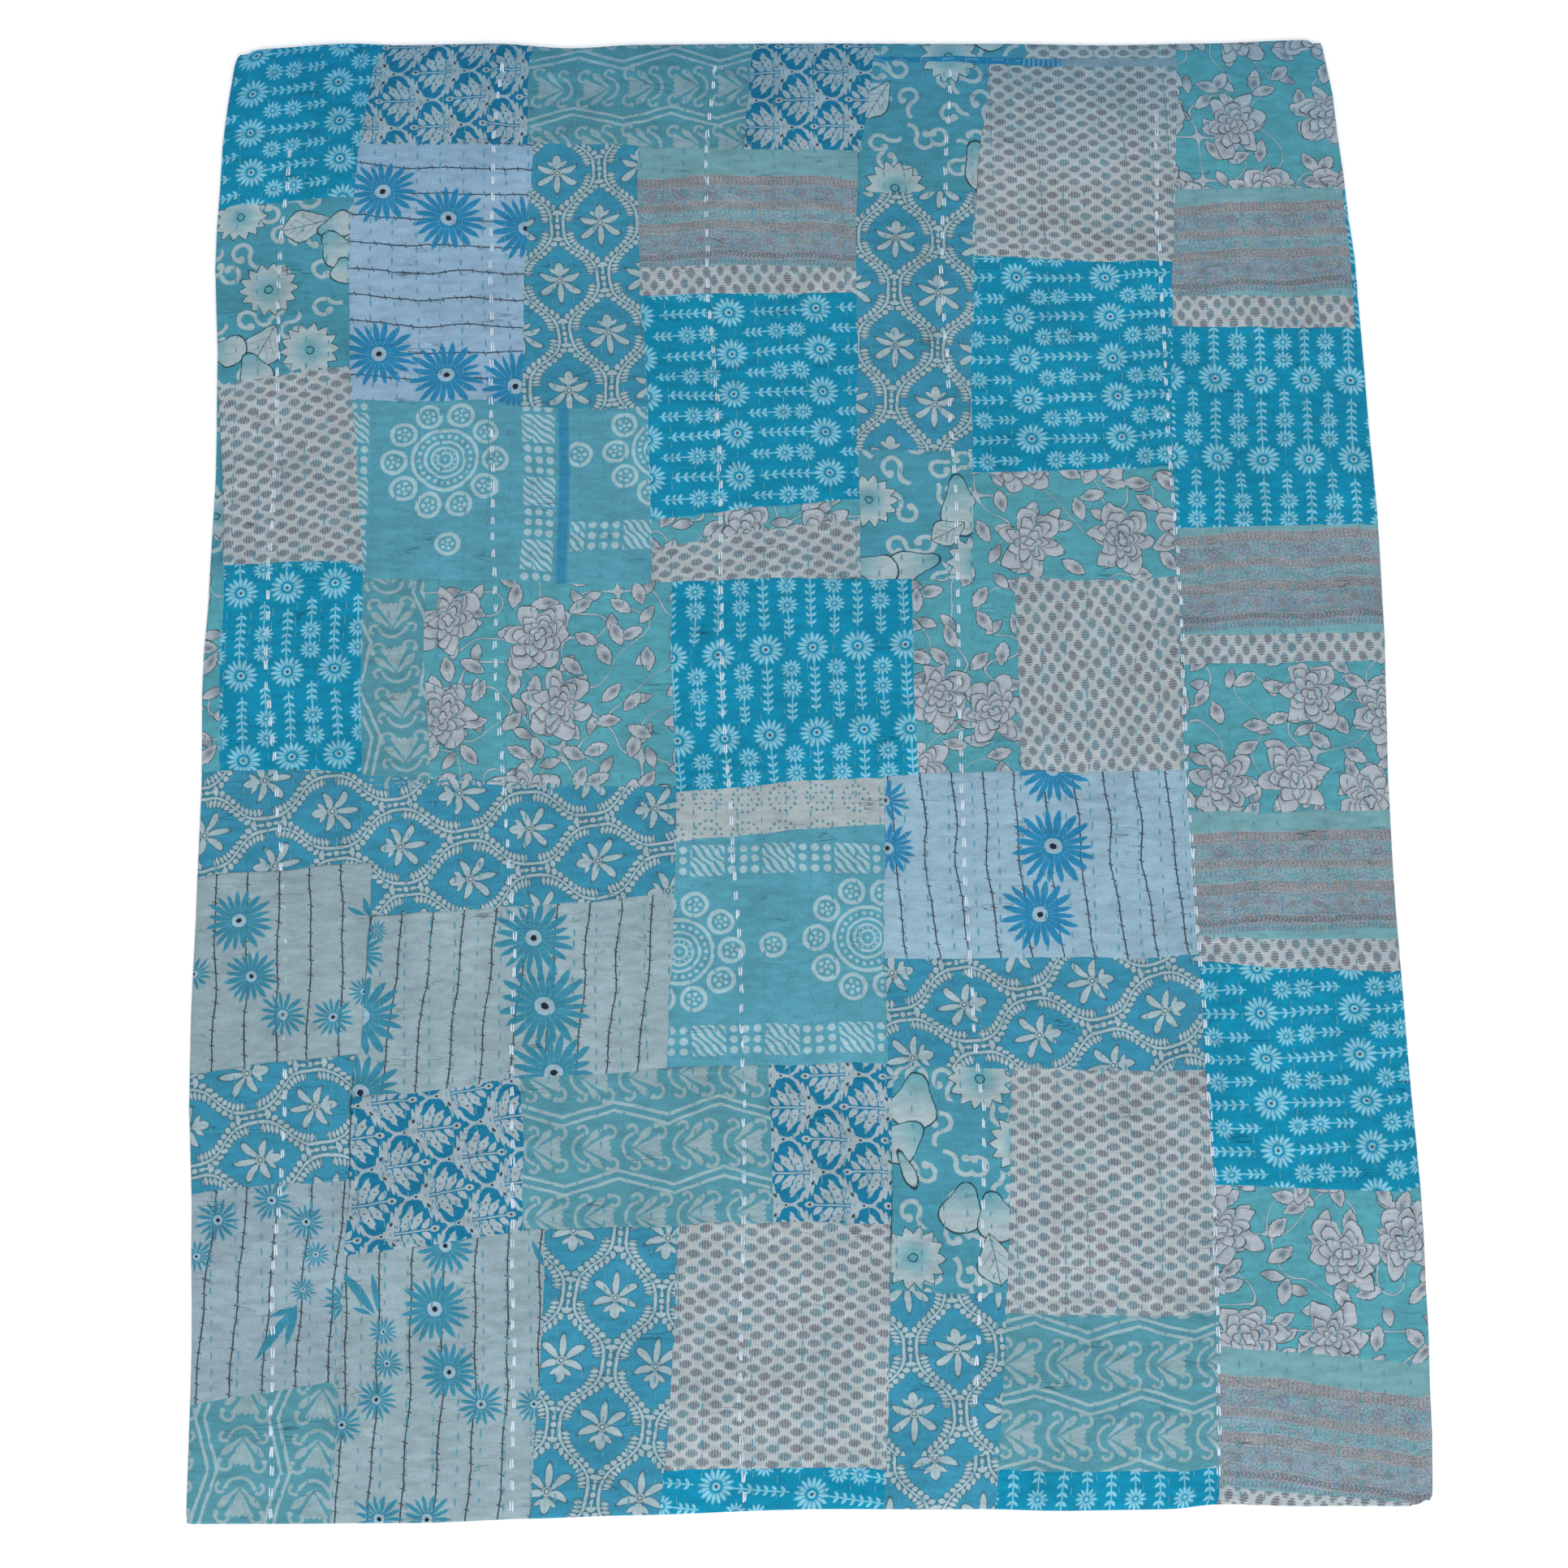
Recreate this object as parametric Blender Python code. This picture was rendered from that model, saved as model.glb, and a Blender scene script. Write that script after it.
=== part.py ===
"""A hand-stitched patchwork quilt, laid flat on the surface it rests on.

The quilt is one filled solid: a printed cotton front, a thin filling and a cotton back, all held
together by rows of running stitch that run from the bottom edge to the top edge. The stitches pull
the layers down, so the front is a field of long soft channels with a puffed strip between each two.
Its outline is a rectangle whose four sides wander by up to 24 mm, as hand-sewn cloth does.

Metres, +Z up, +X to the quilt's right, +Y to its top edge. The origin is under the middle of the
quilt, on the surface that it lies on.
"""

import math

import bmesh
import bpy
from mathutils import Vector

MM = 0.001

# The cut size, before the sides wander.
WIDTH = 1.52
LENGTH = 2.03

# Thickness of the layers: between two stitch rows, at a row, and at the folded-in rim.
PUFF_HEIGHT = 6.4 * MM
ROW_HEIGHT = 4.6 * MM
RIM_HEIGHT = 3.0 * MM
# The rim is rolled over this far in from the outline.
RIM_ROLL = 16 * MM

# Rows of running stitch, parallel to the long sides.
ROW_PITCH = 30 * MM
FIRST_ROW = -WIDTH / 2 + 25 * MM
ROW_COUNT = 50
# How far a row wanders sideways, and the length of one wander.
ROW_WANDER = 2.5 * MM
WANDER_LENGTH = 0.47

# Lines of the surface across the quilt, between the rims.
CROSS_LINES = 33

# Where the outline leaves the rectangle. "at" is metres up from the bottom edge for a side, and
# metres right of the middle for an end. "out" is millimetres outwards.
LEFT_SIDE = [  # at, out
    (0.00, 2), (0.20, 1), (0.39, 6), (0.53, 13), (0.63, 14), (0.81, 11), (0.95, 9),
    (1.10, 12), (1.24, 6), (1.40, 2), (1.55, 4), (1.71, 11), (1.87, 6), (1.95, 0), (2.03, -10),
]
RIGHT_SIDE = [  # at, out
    (0.00, 3), (0.10, 8), (0.24, 13), (0.37, 16), (0.58, 12), (0.79, 10), (0.93, 12),
    (1.01, 16), (1.16, 22), (1.31, 24), (1.46, 21), (1.70, 19), (1.78, 13), (1.94, 5), (2.03, -5),
]
BOTTOM_END = [  # at, out
    (-0.76, -2), (-0.57, 0), (-0.46, 1), (-0.34, -2), (-0.22, -4), (0.00, -8),
    (0.20, -5), (0.32, -1), (0.44, -1), (0.50, -6), (0.62, -2), (0.76, 0),
]
TOP_END = [  # at, out
    (-0.76, -4), (-0.61, 5), (-0.54, 2), (-0.41, 4), (-0.30, -4), (-0.20, 1),
    (0.00, 2), (0.30, 0), (0.47, -3), (0.60, -1), (0.76, 4),
]
# Radius of each rounded corner: bottom left, bottom right, top left, top right.
CORNER_RADIUS = {(-1, -1): 9 * MM, (1, -1): 18 * MM, (-1, 1): 22 * MM, (1, 1): 12 * MM}

# Broad unevenness of the laid cloth, each a wave over the whole quilt.
BROAD_WAVES = [  # height in mm, waves across the width, waves along the length, phase
    (0.8, 1.3, 2.7, 0.4),
    (0.6, 3.1, 4.6, 2.1),
    (0.5, 0.7, 7.3, 1.2),
]
# Main creases, where the cloth lies in a soft ridge or a trough.
CREASES = [  # right of the middle, up from the bottom, half length, half width, turn, height in mm
    (0.47, 1.17, 0.115, 0.020, 12, 2.0),
    (0.38, 1.13, 0.085, 0.016, 2, -1.6),
    (-0.56, 0.68, 0.080, 0.014, -13, 2.2),
    (-0.03, 0.405, 0.100, 0.016, -3, 2.0),
    (0.45, 0.205, 0.110, 0.018, -2, 2.2),
    (0.40, 1.90, 0.140, 0.016, 1, 1.8),
    (-0.63, 1.88, 0.090, 0.014, 4, -1.5),
    (-0.02, 1.255, 0.070, 0.014, 12, 1.8),
    (-0.27, 0.87, 0.150, 0.022, 4, 1.6),
    (0.12, 0.14, 0.120, 0.020, -6, 1.8),
    (-0.40, 0.22, 0.120, 0.020, 3, 1.6),
    (0.62, 0.60, 0.070, 0.018, -4, 1.6),
]


def along_table(table, at):
    """The value in a table of (place, value) rows at a place, eased between the rows."""
    if at <= table[0][0]:
        return table[0][1]
    for (low, first), (high, second) in zip(table, table[1:]):
        if at <= high:
            share = (at - low) / (high - low)
            return first + (second - first) * share * share * (3 - 2 * share)
    return table[-1][1]


def round_corner(x, y):
    """Pulls a point of the rectangle in, where it lies in one of the rounded corners."""
    side, end = (1 if x > 0 else -1), (1 if y > LENGTH / 2 else -1)
    radius = CORNER_RADIUS[side, end]
    inner_x = side * (WIDTH / 2 - radius)
    inner_y = LENGTH - radius if end > 0 else radius
    over_x, over_y = (x - inner_x) * side, (y - inner_y) * end
    if over_x <= 0 or over_y <= 0:
        return x, y
    pull = max(over_x, over_y) / math.hypot(over_x, over_y)
    return inner_x + side * over_x * pull, inner_y + end * over_y * pull


def lay_out(x, y):
    """A point of the cut rectangle, where it lies inside the wandering outline."""
    round_x, round_y = round_corner(x, y)
    across, up = x / WIDTH + 0.5, y / LENGTH
    left, right = along_table(LEFT_SIDE, y) * MM, along_table(RIGHT_SIDE, y) * MM
    bottom, top = along_table(BOTTOM_END, x) * MM, along_table(TOP_END, x) * MM
    wander = ROW_WANDER * math.sin(math.tau * y / WANDER_LENGTH) * math.sin(math.pi * across)
    return (
        round_x - left * (1 - across) + right * across + wander,
        round_y - bottom * (1 - up) + top * up,
    )


def crease_height(x, y):
    """What the main creases add at a point of the cut rectangle."""
    height = 0.0
    for right, up, half_length, half_width, turn, rise in CREASES:
        angle = math.radians(turn)
        off_x, off_y = x - right, y - up
        along = off_x * math.cos(angle) + off_y * math.sin(angle)
        across = off_y * math.cos(angle) - off_x * math.sin(angle)
        height += rise * MM * math.exp(-((along / half_length) ** 2) - (across / half_width) ** 2)
    return height


def front_height(x, y):
    """How high the front is above the surface below, at a point of the cut rectangle."""
    row_phase = (x - FIRST_ROW) / ROW_PITCH
    puff = abs(math.sin(math.pi * row_phase)) ** 0.6
    height = ROW_HEIGHT + (PUFF_HEIGHT - ROW_HEIGHT) * puff
    for rise, waves_across, waves_up, phase in BROAD_WAVES:
        turns = waves_across * x / WIDTH + waves_up * y / LENGTH
        height += rise * MM * math.sin(math.tau * turns + phase)
    height += crease_height(x, y)
    inset = min(WIDTH / 2 - abs(x), y, LENGTH - y)
    if inset >= RIM_ROLL:
        return height
    roll = math.sqrt(1 - (1 - inset / RIM_ROLL) ** 2)
    return RIM_HEIGHT + (height - RIM_HEIGHT) * roll


def surface_lines():
    """Places of the surface's lines: across at each row and each crest, and along the length."""
    rim = (0.0, 0.25 * RIM_ROLL, 0.8 * RIM_ROLL)
    rows = [FIRST_ROW + ROW_PITCH * row for row in range(ROW_COUNT)]
    crests = [row + ROW_PITCH / 2 for row in rows[:-1]]
    across = sorted(rows + crests)
    across = [-WIDTH / 2 + step for step in rim] + across + [WIDTH / 2 - step for step in rim[::-1]]
    first, last = 1.6 * RIM_ROLL, LENGTH - 1.6 * RIM_ROLL
    along = [first + (last - first) * line / (CROSS_LINES - 1) for line in range(CROSS_LINES)]
    along = list(rim) + along + [LENGTH - step for step in rim[::-1]]
    return across, along


def cloth_material():
    """Plain stand-in for the printed cotton: a light turquoise, matt and soft."""
    material = bpy.data.materials.new("printed_cotton")
    material.use_nodes = True
    shader = material.node_tree.nodes["Principled BSDF"]
    shader.inputs["Base Color"].default_value = (0.13, 0.42, 0.52, 1.0)
    shader.inputs["Roughness"].default_value = 0.92
    shader.inputs["Metallic"].default_value = 0.0
    return material


def make_quilt():
    """The filled quilt: a shaped front, a rolled rim and one flat back."""
    across, along = surface_lines()
    mesh = bpy.data.meshes.new("quilt")
    shape = bmesh.new()
    bmesh.ops.create_grid(
        shape, x_segments=len(across) - 1, y_segments=len(along) - 1, size=1.0
    )
    front = list(shape.faces)
    back = bmesh.ops.extrude_face_region(shape, geom=front)["geom"]
    back_verts = {item for item in back if isinstance(item, bmesh.types.BMVert)}
    for vert in shape.verts:
        column = round((vert.co.x + 1) / 2 * (len(across) - 1))
        line = round((vert.co.y + 1) / 2 * (len(along) - 1))
        x, y = across[column], along[line]
        height = 0.0 if vert in back_verts else front_height(x, y)
        vert.co = Vector((*lay_out(x, y), height))
    back_faces = [item for item in back if isinstance(item, bmesh.types.BMFace)]
    bmesh.ops.dissolve_faces(shape, faces=back_faces, use_verts=True)
    bmesh.ops.recalc_face_normals(shape, faces=shape.faces)
    low = [min(vert.co[axis] for vert in shape.verts) for axis in range(2)]
    high = [max(vert.co[axis] for vert in shape.verts) for axis in range(2)]
    middle = Vector(((low[0] + high[0]) / 2, (low[1] + high[1]) / 2, 0.0))
    bmesh.ops.translate(shape, vec=-middle, verts=shape.verts)
    shape.to_mesh(mesh)
    shape.free()
    mesh.shade_smooth()
    mesh.set_sharp_from_angle(angle=math.radians(50))
    mesh.materials.append(cloth_material())
    print("quilt faces", len(mesh.polygons), "middle moved by", tuple(round(v, 5) for v in middle))
    return bpy.data.objects.new("quilt", mesh)


def main():
    for old in list(bpy.data.objects):
        bpy.data.objects.remove(old, do_unlink=True)
    collection = bpy.data.collections.new("patchwork_quilt")
    bpy.context.scene.collection.children.link(collection)
    collection.objects.link(make_quilt())


main()
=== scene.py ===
# %% [markdown]
# # A patchwork quilt in printed cotton
# This script dresses one flat CAD solid as a hand-stitched quilt. The real object is made of thin
# cotton patches in faded blue and turquoise prints. They are laid on a thin filling and a back, and
# rows of small running stitches go through all the layers from the bottom edge to the top.
# The solid gives the outline and the broad waves. Everything finer is made here.

import math

import bpy
import numpy as np
from mathutils import Matrix, Vector
from mathutils.bvhtree import BVHTree


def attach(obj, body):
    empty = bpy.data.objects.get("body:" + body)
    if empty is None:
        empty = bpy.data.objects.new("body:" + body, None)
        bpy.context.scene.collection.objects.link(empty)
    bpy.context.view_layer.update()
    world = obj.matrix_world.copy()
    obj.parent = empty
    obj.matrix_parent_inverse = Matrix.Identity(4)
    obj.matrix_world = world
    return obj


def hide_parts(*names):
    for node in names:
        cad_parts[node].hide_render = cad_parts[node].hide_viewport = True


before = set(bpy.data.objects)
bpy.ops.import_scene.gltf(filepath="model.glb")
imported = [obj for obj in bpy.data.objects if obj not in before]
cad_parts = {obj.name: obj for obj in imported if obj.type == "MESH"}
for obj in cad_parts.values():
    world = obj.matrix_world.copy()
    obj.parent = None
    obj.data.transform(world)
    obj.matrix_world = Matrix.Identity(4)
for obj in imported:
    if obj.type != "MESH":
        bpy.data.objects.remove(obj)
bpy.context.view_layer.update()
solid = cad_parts["quilt"]
MM = 0.001

# %% [markdown]
# ## From the cut quilt to the laid quilt
# The patches are planned on a plain rectangle, the cut quilt. Hand-sewn cloth never stays that
# straight, so the solid's four sides wander. The rim of the solid's flat back is read from its mesh
# and split into four sides, at the outermost point of each rounded corner. A point of the cut quilt
# is then placed at the same share of the way between the sides, so a patch at the edge ends exactly
# on the solid's outline.

# %% Sides of the quilt
HALF_WIDTH = 760
HALF_LENGTH = 1015

points = np.array([vert.co for vert in solid.data.vertices]) / MM
rim = points[points[:, 2] < 0.01]
reach_x, reach_y = np.abs(rim[:, 0]) / HALF_WIDTH, np.abs(rim[:, 1]) / HALF_LENGTH
steepness = reach_y / reach_x
corner_steepness = np.ones(len(rim))
for quarter in range(4):
    chosen = (rim[:, 0] > 0) * 2 + (rim[:, 1] > 0) == quarter
    corner = np.argmax((reach_x + reach_y)[chosen])
    corner_steepness[chosen] = steepness[chosen][corner]
at_side = steepness <= corner_steepness
at_end = steepness >= corner_steepness


def side_line(chosen, along, out):
    """The places along one side, and how far out the side is there."""
    order = np.argsort(chosen[:, along])
    return chosen[order, along], chosen[order, out]


LEFT = side_line(rim[at_side & (rim[:, 0] < 0)], 1, 0)
RIGHT = side_line(rim[at_side & (rim[:, 0] > 0)], 1, 0)
BOTTOM = side_line(rim[at_end & (rim[:, 1] < 0)], 0, 1)
TOP = side_line(rim[at_end & (rim[:, 1] > 0)], 0, 1)


def lay_out(x, y):
    """Where a point of the cut quilt lies on the laid quilt. Both are in mm from the middle."""
    low, high = np.interp(x, *BOTTOM), np.interp(x, *TOP)
    laid_y = low + (high - low) * (y / HALF_LENGTH + 1) / 2
    left, right = np.interp(laid_y, *LEFT), np.interp(laid_y, *RIGHT)
    return left + (right - left) * (x / HALF_WIDTH + 1) / 2, laid_y


print("rim points", len(rim), "corner laid at", [round(float(v)) for v in lay_out(-760, 1015)])

# %% [markdown]
# ## The height of the cloth
# The stitch rows pull the layers together every 30 mm, so the front is a field of low puffed strips.
# The thread also gathers the cloth a little, which leaves short soft puckers across the strips.
# The solid's front is measured at the stitch rows with a ray from above. The puffs and puckers are
# added to that as sums of smooth random bumps, which are quick to work out for whole arrays of points.

# %% Height of the front
ROW_PITCH = 30
FIRST_ROW = 25 - HALF_WIDTH
ROWS = FIRST_ROW + ROW_PITCH * np.arange(50)
LINES = np.linspace(-985, 985, 67)
RIM_HEIGHT = 3.0
RIM_ROLL = 16.0

tree = BVHTree.FromObject(solid, bpy.context.evaluated_depsgraph_get())


def solid_height(x, y):
    """The solid's front above one point of the cut quilt, in mm."""
    laid_x, laid_y = lay_out(x, y)
    hit = tree.ray_cast(Vector((laid_x * MM, laid_y * MM, 1)), Vector((0, 0, -1)))[0]
    return hit.z / MM


ROW_HEIGHTS = np.array([[solid_height(x, y) for y in LINES] for x in ROWS])


def between(x, y):
    """The height of the front at its stitch rows, drawn smoothly between them."""
    i = np.clip((x - ROWS[0]) / ROW_PITCH, 0, len(ROWS) - 1.001)
    j = np.clip((y - LINES[0]) / (LINES[1] - LINES[0]), 0, len(LINES) - 1.001)
    column, line = i.astype(int), j.astype(int)
    s, t = i - column, j - line
    low = ROW_HEIGHTS[column, line] * (1 - s) + ROW_HEIGHTS[column + 1, line] * s
    high = ROW_HEIGHTS[column, line + 1] * (1 - s) + ROW_HEIGHTS[column + 1, line + 1] * s
    return low * (1 - t) + high * t


def soft_noise(x, y, cell_x, cell_y, seed):
    """Smooth random bumps from -1 to 1, with one random value for each cell of the cloth."""
    values = np.random.default_rng(seed).uniform(-1, 1, (600, 600))
    u, v = x / cell_x + 300, y / cell_y + 300
    i, j = np.floor(u).astype(int), np.floor(v).astype(int)
    s, t = u - i, v - j
    s, t = s * s * (3 - 2 * s), t * t * (3 - 2 * t)
    low = values[i, j] * (1 - s) + values[i + 1, j] * s
    high = values[i, j + 1] * (1 - s) + values[i + 1, j + 1] * s
    return low * (1 - t) + high * t


def cloth_height(x, y):
    """The height of the finished front, in mm, at points of the cut quilt."""
    puff = np.abs(np.sin(math.pi * (x - FIRST_ROW) / ROW_PITCH)) ** 0.7
    tight = 0.65 + 0.35 * soft_noise(x, y, 160, 120, 3)
    puckers = 1.25 * soft_noise(x, y, 34, 10, 1) + 0.7 * soft_noise(x, y, 19, 6, 2)
    drift = 0.8 * soft_noise(x, y, 75, 36, 4)
    rise = 0.5 + 1.3 * puff + tight * puckers * (0.45 + 0.55 * puff) + drift
    height = between(x, y) + np.maximum(rise, -0.7)
    inset = np.minimum(HALF_WIDTH - np.abs(x), HALF_LENGTH - np.abs(y))
    share = np.clip(inset / RIM_ROLL, 0, 1)
    return RIM_HEIGHT + (height - RIM_HEIGHT) * np.sqrt(1 - (1 - share) ** 2)


print("front at the rows", ROW_HEIGHTS.min().round(1), "to", ROW_HEIGHTS.max().round(1), "mm")

# %% [markdown]
# ## The plan of the patches
# Each row of the plan is one cut piece of cotton: its name, its print, its four corners on the cut
# quilt, how far its print is turned, and a point where one motif of the print sits. For the bands
# that point is on the top of the first stripe. The corners go clockwise from the top left. They are
# given to the nearest millimetre, so that neighbours meet.
# The blocks were cut freely by hand, so no two are alike and few corners are square.

# %% Patch plan
# name, print, corners: top left, top right, bottom right, bottom left; turn; motif at
PATCHES = [
    ("top_1", "daisy", (-760, 1015, -560, 1015, -582, 776, -760, 777), 95, (-724, 884)),
    ("top_2", "leaf_scroll", (-562, 1015, -352, 1015, -347, 853, -580, 860), 2, (-392, 931)),
    ("top_3", "lotus", (-352, 1015, -41, 1015, -53, 848, -350, 866), 180, (-200, 948)),
    ("top_4", "leaf_scroll", (-41, 1015, 130, 1015, 106, 845, -53, 848), 0, (60, 925)),
    ("top_5", "poppy", (128, 992, 290, 980, 256, 783, 96, 784), 0, (0, 0)),
    ("top_6", "buti", (289, 980, 551, 979, 515, 678, 246, 688), -2, (380, 850)),
    ("top_7", "rose", (551, 1015, 760, 1015, 760, 786, 528, 788), 0, (0, 0)),
    ("top_poppy", "poppy", (128, 1015, 341, 1015, 340, 992, 128, 992), 0, (0, 0)),
    ("top_buti", "buti", (339, 1015, 553, 1015, 551, 992, 339, 992), 0, (450, 1000)),
    ("top_dashes", "dashes", (128, 993, 552, 992, 550, 978, 128, 984), 0, (300, 987)),
    ("right_band", "bands", (528, 789, 757, 786, 753, 620, 511, 627), 0, (640, 764)),
    ("right_band_foot", "buti", (511, 628, 753, 621, 752, 573, 507, 582), 91, (640, 600)),
    ("right_blue_edge", "daisy", (756, 786, 760, 786, 760, 573, 751, 573), 0, (700, 640)),
    ("right_daisy", "daisy", (507, 581, 760, 573, 760, 286, 492, 283), 178, (560, 503)),
    ("right_band_2", "bands", (492, 284, 760, 286, 760, 132, 497, 129), 1, (620, 275)),
    ("right_band_2_foot", "buti", (497, 130, 760, 133, 760, 92, 500, 89), 92, (620, 110)),
    ("right_rose", "rose", (500, 90, 760, 92, 760, -116, 498, -116), 0, (0, 0)),
    ("right_band_3", "bands", (498, -116, 760, -116, 760, -294, 506, -286), 0, (620, -144)),
    ("right_band_3_foot", "buti", (506, -284, 760, -292, 760, -336, 506, -320), 94, (620, -310)),
    ("right_daisy_2", "daisy", (505, -319, 760, -336, 760, -621, 504, -613), 92, (581, -448)),
    ("right_rose_2", "rose", (504, -613, 760, -620, 760, -842, 499, -820), 0, (0, 0)),
    ("right_band_4", "bands", (499, -820, 760, -842, 760, -1015, 497, -993), -8.3, (620, -868)),
    ("right_band_4_foot", "buti", (497, -991, 735, -1013, 735, -1015, 497, -1015), 84, (600, -1000)),
    ("left_poppy", "poppy", (-760, 777, -581, 776, -586, 526, -760, 506), 0, (0, 0)),
    ("star_1", "star", (-580, 862, -337, 866, -359, 471, -586, 479), 0, (0, 0)),
    ("vine_1", "vine", (-344, 869, -196, 856, -194, 463, -360, 472), 2, (-309, 820)),
    ("middle_band", "bands", (-199, 854, 102, 845, 92, 668, -202, 672), -1.3, (-60, 806)),
    ("middle_band_foot", "buti", (-202, 674, 93, 670, 90, 628, -203, 630), 92, (-60, 650)),
    ("middle_daisy", "daisy", (-199, 631, 88, 630, 80, 326, -192, 301), -88, (39, 486)),
    ("middle_rose_strip", "rose", (-191, 302, 80, 327, 80, 297, -188, 260), 0, (0, 0)),
    ("middle_buti_strip", "buti", (-190, 262, 80, 299, 84, 213, -191, 210), 9, (-60, 240)),
    ("vine_2", "vine", (97, 785, 256, 784, 231, 396, 80, 397), -4, (147, 714)),
    ("middle_poppy", "poppy", (81, 398, 231, 398, 228, 212, 80, 209), 0, (0, 0)),
    ("right_daisy_3", "daisy", (245, 687, 515, 679, 494, 372, 229, 366), 92, (306, 594)),
    ("right_rose_3", "rose", (230, 368, 494, 373, 495, 212, 226, 215), 0, (0, 0)),
    ("right_rose_4", "rose", (146, 208, 284, 216, 288, -58, 152, -58), 0, (0, 0)),
    ("right_buti", "buti", (281, 215, 495, 212, 498, -58, 285, -55), 97, (380, 80)),
    ("left_buti", "buti", (-760, 507, -585, 527, -562, 240, -742, 246), 9, (-660, 400)),
    ("left_poppy_edge", "poppy", (-760, 508, -759, 508, -742, 246, -760, 247), 0, (0, 0)),
    ("ring_1", "ring", (-586, 480, -194, 464, -188, 209, -564, 221), 0, (0, 0)),
    ("left_daisy", "daisy", (-742, 248, -562, 240, -557, -51, -738, -42), 183, (-719, 205)),
    ("left_rose_edge", "rose", (-760, 248, -742, 248, -736, -42, -760, -42), 0, (0, 0)),
    ("lotus_strip", "lotus", (-565, 223, -484, 216, -465, -74, -556, -73), 97, (-509, 48)),
    ("middle_rose", "rose", (-486, 217, -162, 211, -155, -75, -468, -74), 0, (0, 0)),
    ("middle_daisy_2", "daisy", (-163, 211, 148, 212, 157, -62, -157, -84), 3, (-40, 110)),
    ("dotted_strip", "dotted", (-157, -82, 114, -66, 113, -130, -155, -153), 0, (-20, -95)),
    ("ring_2", "ring", (-156, -151, 113, -128, 108, -452, -168, -452), 0, (0, 0)),
    ("vine_3", "vine", (-760, -40, -154, -73, -156, -222, -760, -252), 98, (-592, -105)),
    ("star_2", "star", (-760, -186, -542, -176, -550, -424, -760, -447), 0, (0, 0)),
    ("star_3", "star", (-541, -245, -156, -219, -166, -452, -557, -481), 0, (0, 0)),
    ("vine_4", "vine", (-760, -445, -556, -424, -569, -590, -760, -604), -82, (-675, -563)),
    ("leaf_scroll_1", "leaf_scroll", (-556, -484, -348, -459, -353, -661, -573, -684), 188, (-432, -647)),
    ("lotus_1", "lotus", (-349, -459, -39, -452, -46, -656, -354, -656), 0, (-254, -553)),
    ("leaf_scroll_2", "leaf_scroll", (-41, -452, 114, -452, 97, -658, -47, -656), -1, (21, -509)),
    ("star_4", "star", (112, -61, 500, -55, 504, -310, 104, -313), 0, (0, 0)),
    ("vine_5", "vine", (104, -312, 505, -309, 504, -464, 106, -454), -79, (298, -413)),
    ("poppy_2", "poppy", (112, -454, 262, -455, 241, -748, 97, -744), 0, (0, 0)),
    ("buti_2", "buti", (260, -455, 504, -462, 499, -776, 239, -774), -4, (380, -600)),
    ("lotus_2", "lotus", (240, -773, 499, -775, 497, -972, 224, -969), -1, (383, -837)),
    ("foot_daisy", "daisy", (224, -967, 498, -971, 497, -1015, 221, -1015), 180, (245, -1059)),
    ("vine_6", "vine", (97, -744, 241, -748, 230, -950, 90, -950), 2, (176, -817)),
    ("vine_6_foot", "vine", (91, -948, 231, -948, 227, -1015, 86, -1015), 183, (149, -951)),
    ("buti_3", "buti", (-163, -656, 97, -658, 90, -969, -181, -962), -4, (-40, -800)),
    ("foot_daisy_2", "daisy", (-182, -960, 89, -967, 87, -1015, -188, -1015), 83, (-119, -984)),
    ("vine_7", "vine", (-327, -659, -162, -657, -186, -1015, -345, -1015), 174, (-242, -746)),
    ("star_5", "star", (-760, -603, -568, -588, -582, -842, -760, -870), 0, (0, 0)),
    ("star_6", "star", (-573, -683, -325, -657, -343, -1015, -588, -1015), 0, (0, 0)),
    ("lotus_3", "lotus", (-760, -868, -582, -840, -586, -1015, -760, -1015), -92, (-694, -932)),
]
print("patches", len(PATCHES))

# %% [markdown]
# ## Cutting and turning in a patch
# A patch is one thin sheet. Its raw edges are turned under before it is sewn down, so the sheet is
# modelled as the face that shows and a folded rim that goes back under it. Neighbours overlap by a
# little and both dip into the seam. Every point also gets a place in the "cloth" UV map, which is
# its place on the printed cotton in metres, so a print can be turned and moved like real yardage.
# A "seam" value holds the distance in mm from the nearest seam, for the painted seam shadow there.

# %% Patch builder
CELL_X, CELL_Y = 5.2, 3.7
OVERLAP = 1.6
FOLD_IN = 4.0
SEAM_DIP = 0.8
LAPPED = {"star_2": 1.2}  # a patch sewn on top of its neighbour, and how much higher it lies in mm


def spaced(length, cell):
    """Places across a patch from 0 to 1: close together at the turned edges, even between."""
    edge = np.array([0, 1.3, 3.2]) * min(1, length / 11) / length
    inner = min(6, length * 0.4) / length
    middle = np.linspace(inner, 1 - inner, max(2, round((length - 12) / cell)))
    return np.concatenate([edge, middle, 1 - edge[::-1]])


def grown(corners):
    """The corners moved out by the overlap, but never past the quilt's own sides."""
    corners = np.array(corners, float).reshape(4, 2)
    out = np.array([[-1, 1], [1, 1], [1, -1], [-1, -1]]) * OVERLAP
    limit = np.array([HALF_WIDTH, HALF_LENGTH])
    return np.clip(corners + out, -limit, limit)


def at_rim(one, other):
    """Whether the edge between two corners is part of the quilt's own rim."""
    limit = np.array([HALF_WIDTH, HALF_LENGTH]) - 0.5
    return bool(np.any((np.abs(one) > limit) & (np.abs(other) > limit) & (one * other > 0)))


def across(corners, u, v):
    """Points of a patch, u from its left to its right and v from its bottom to its top."""
    top_left, top_right, bottom_right, bottom_left = corners
    u, v = u[:, None], v[:, None]
    low = bottom_left * (1 - u) + bottom_right * u
    high = top_left * (1 - u) + top_right * u
    return (low * (1 - v) + high * v).T


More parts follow.
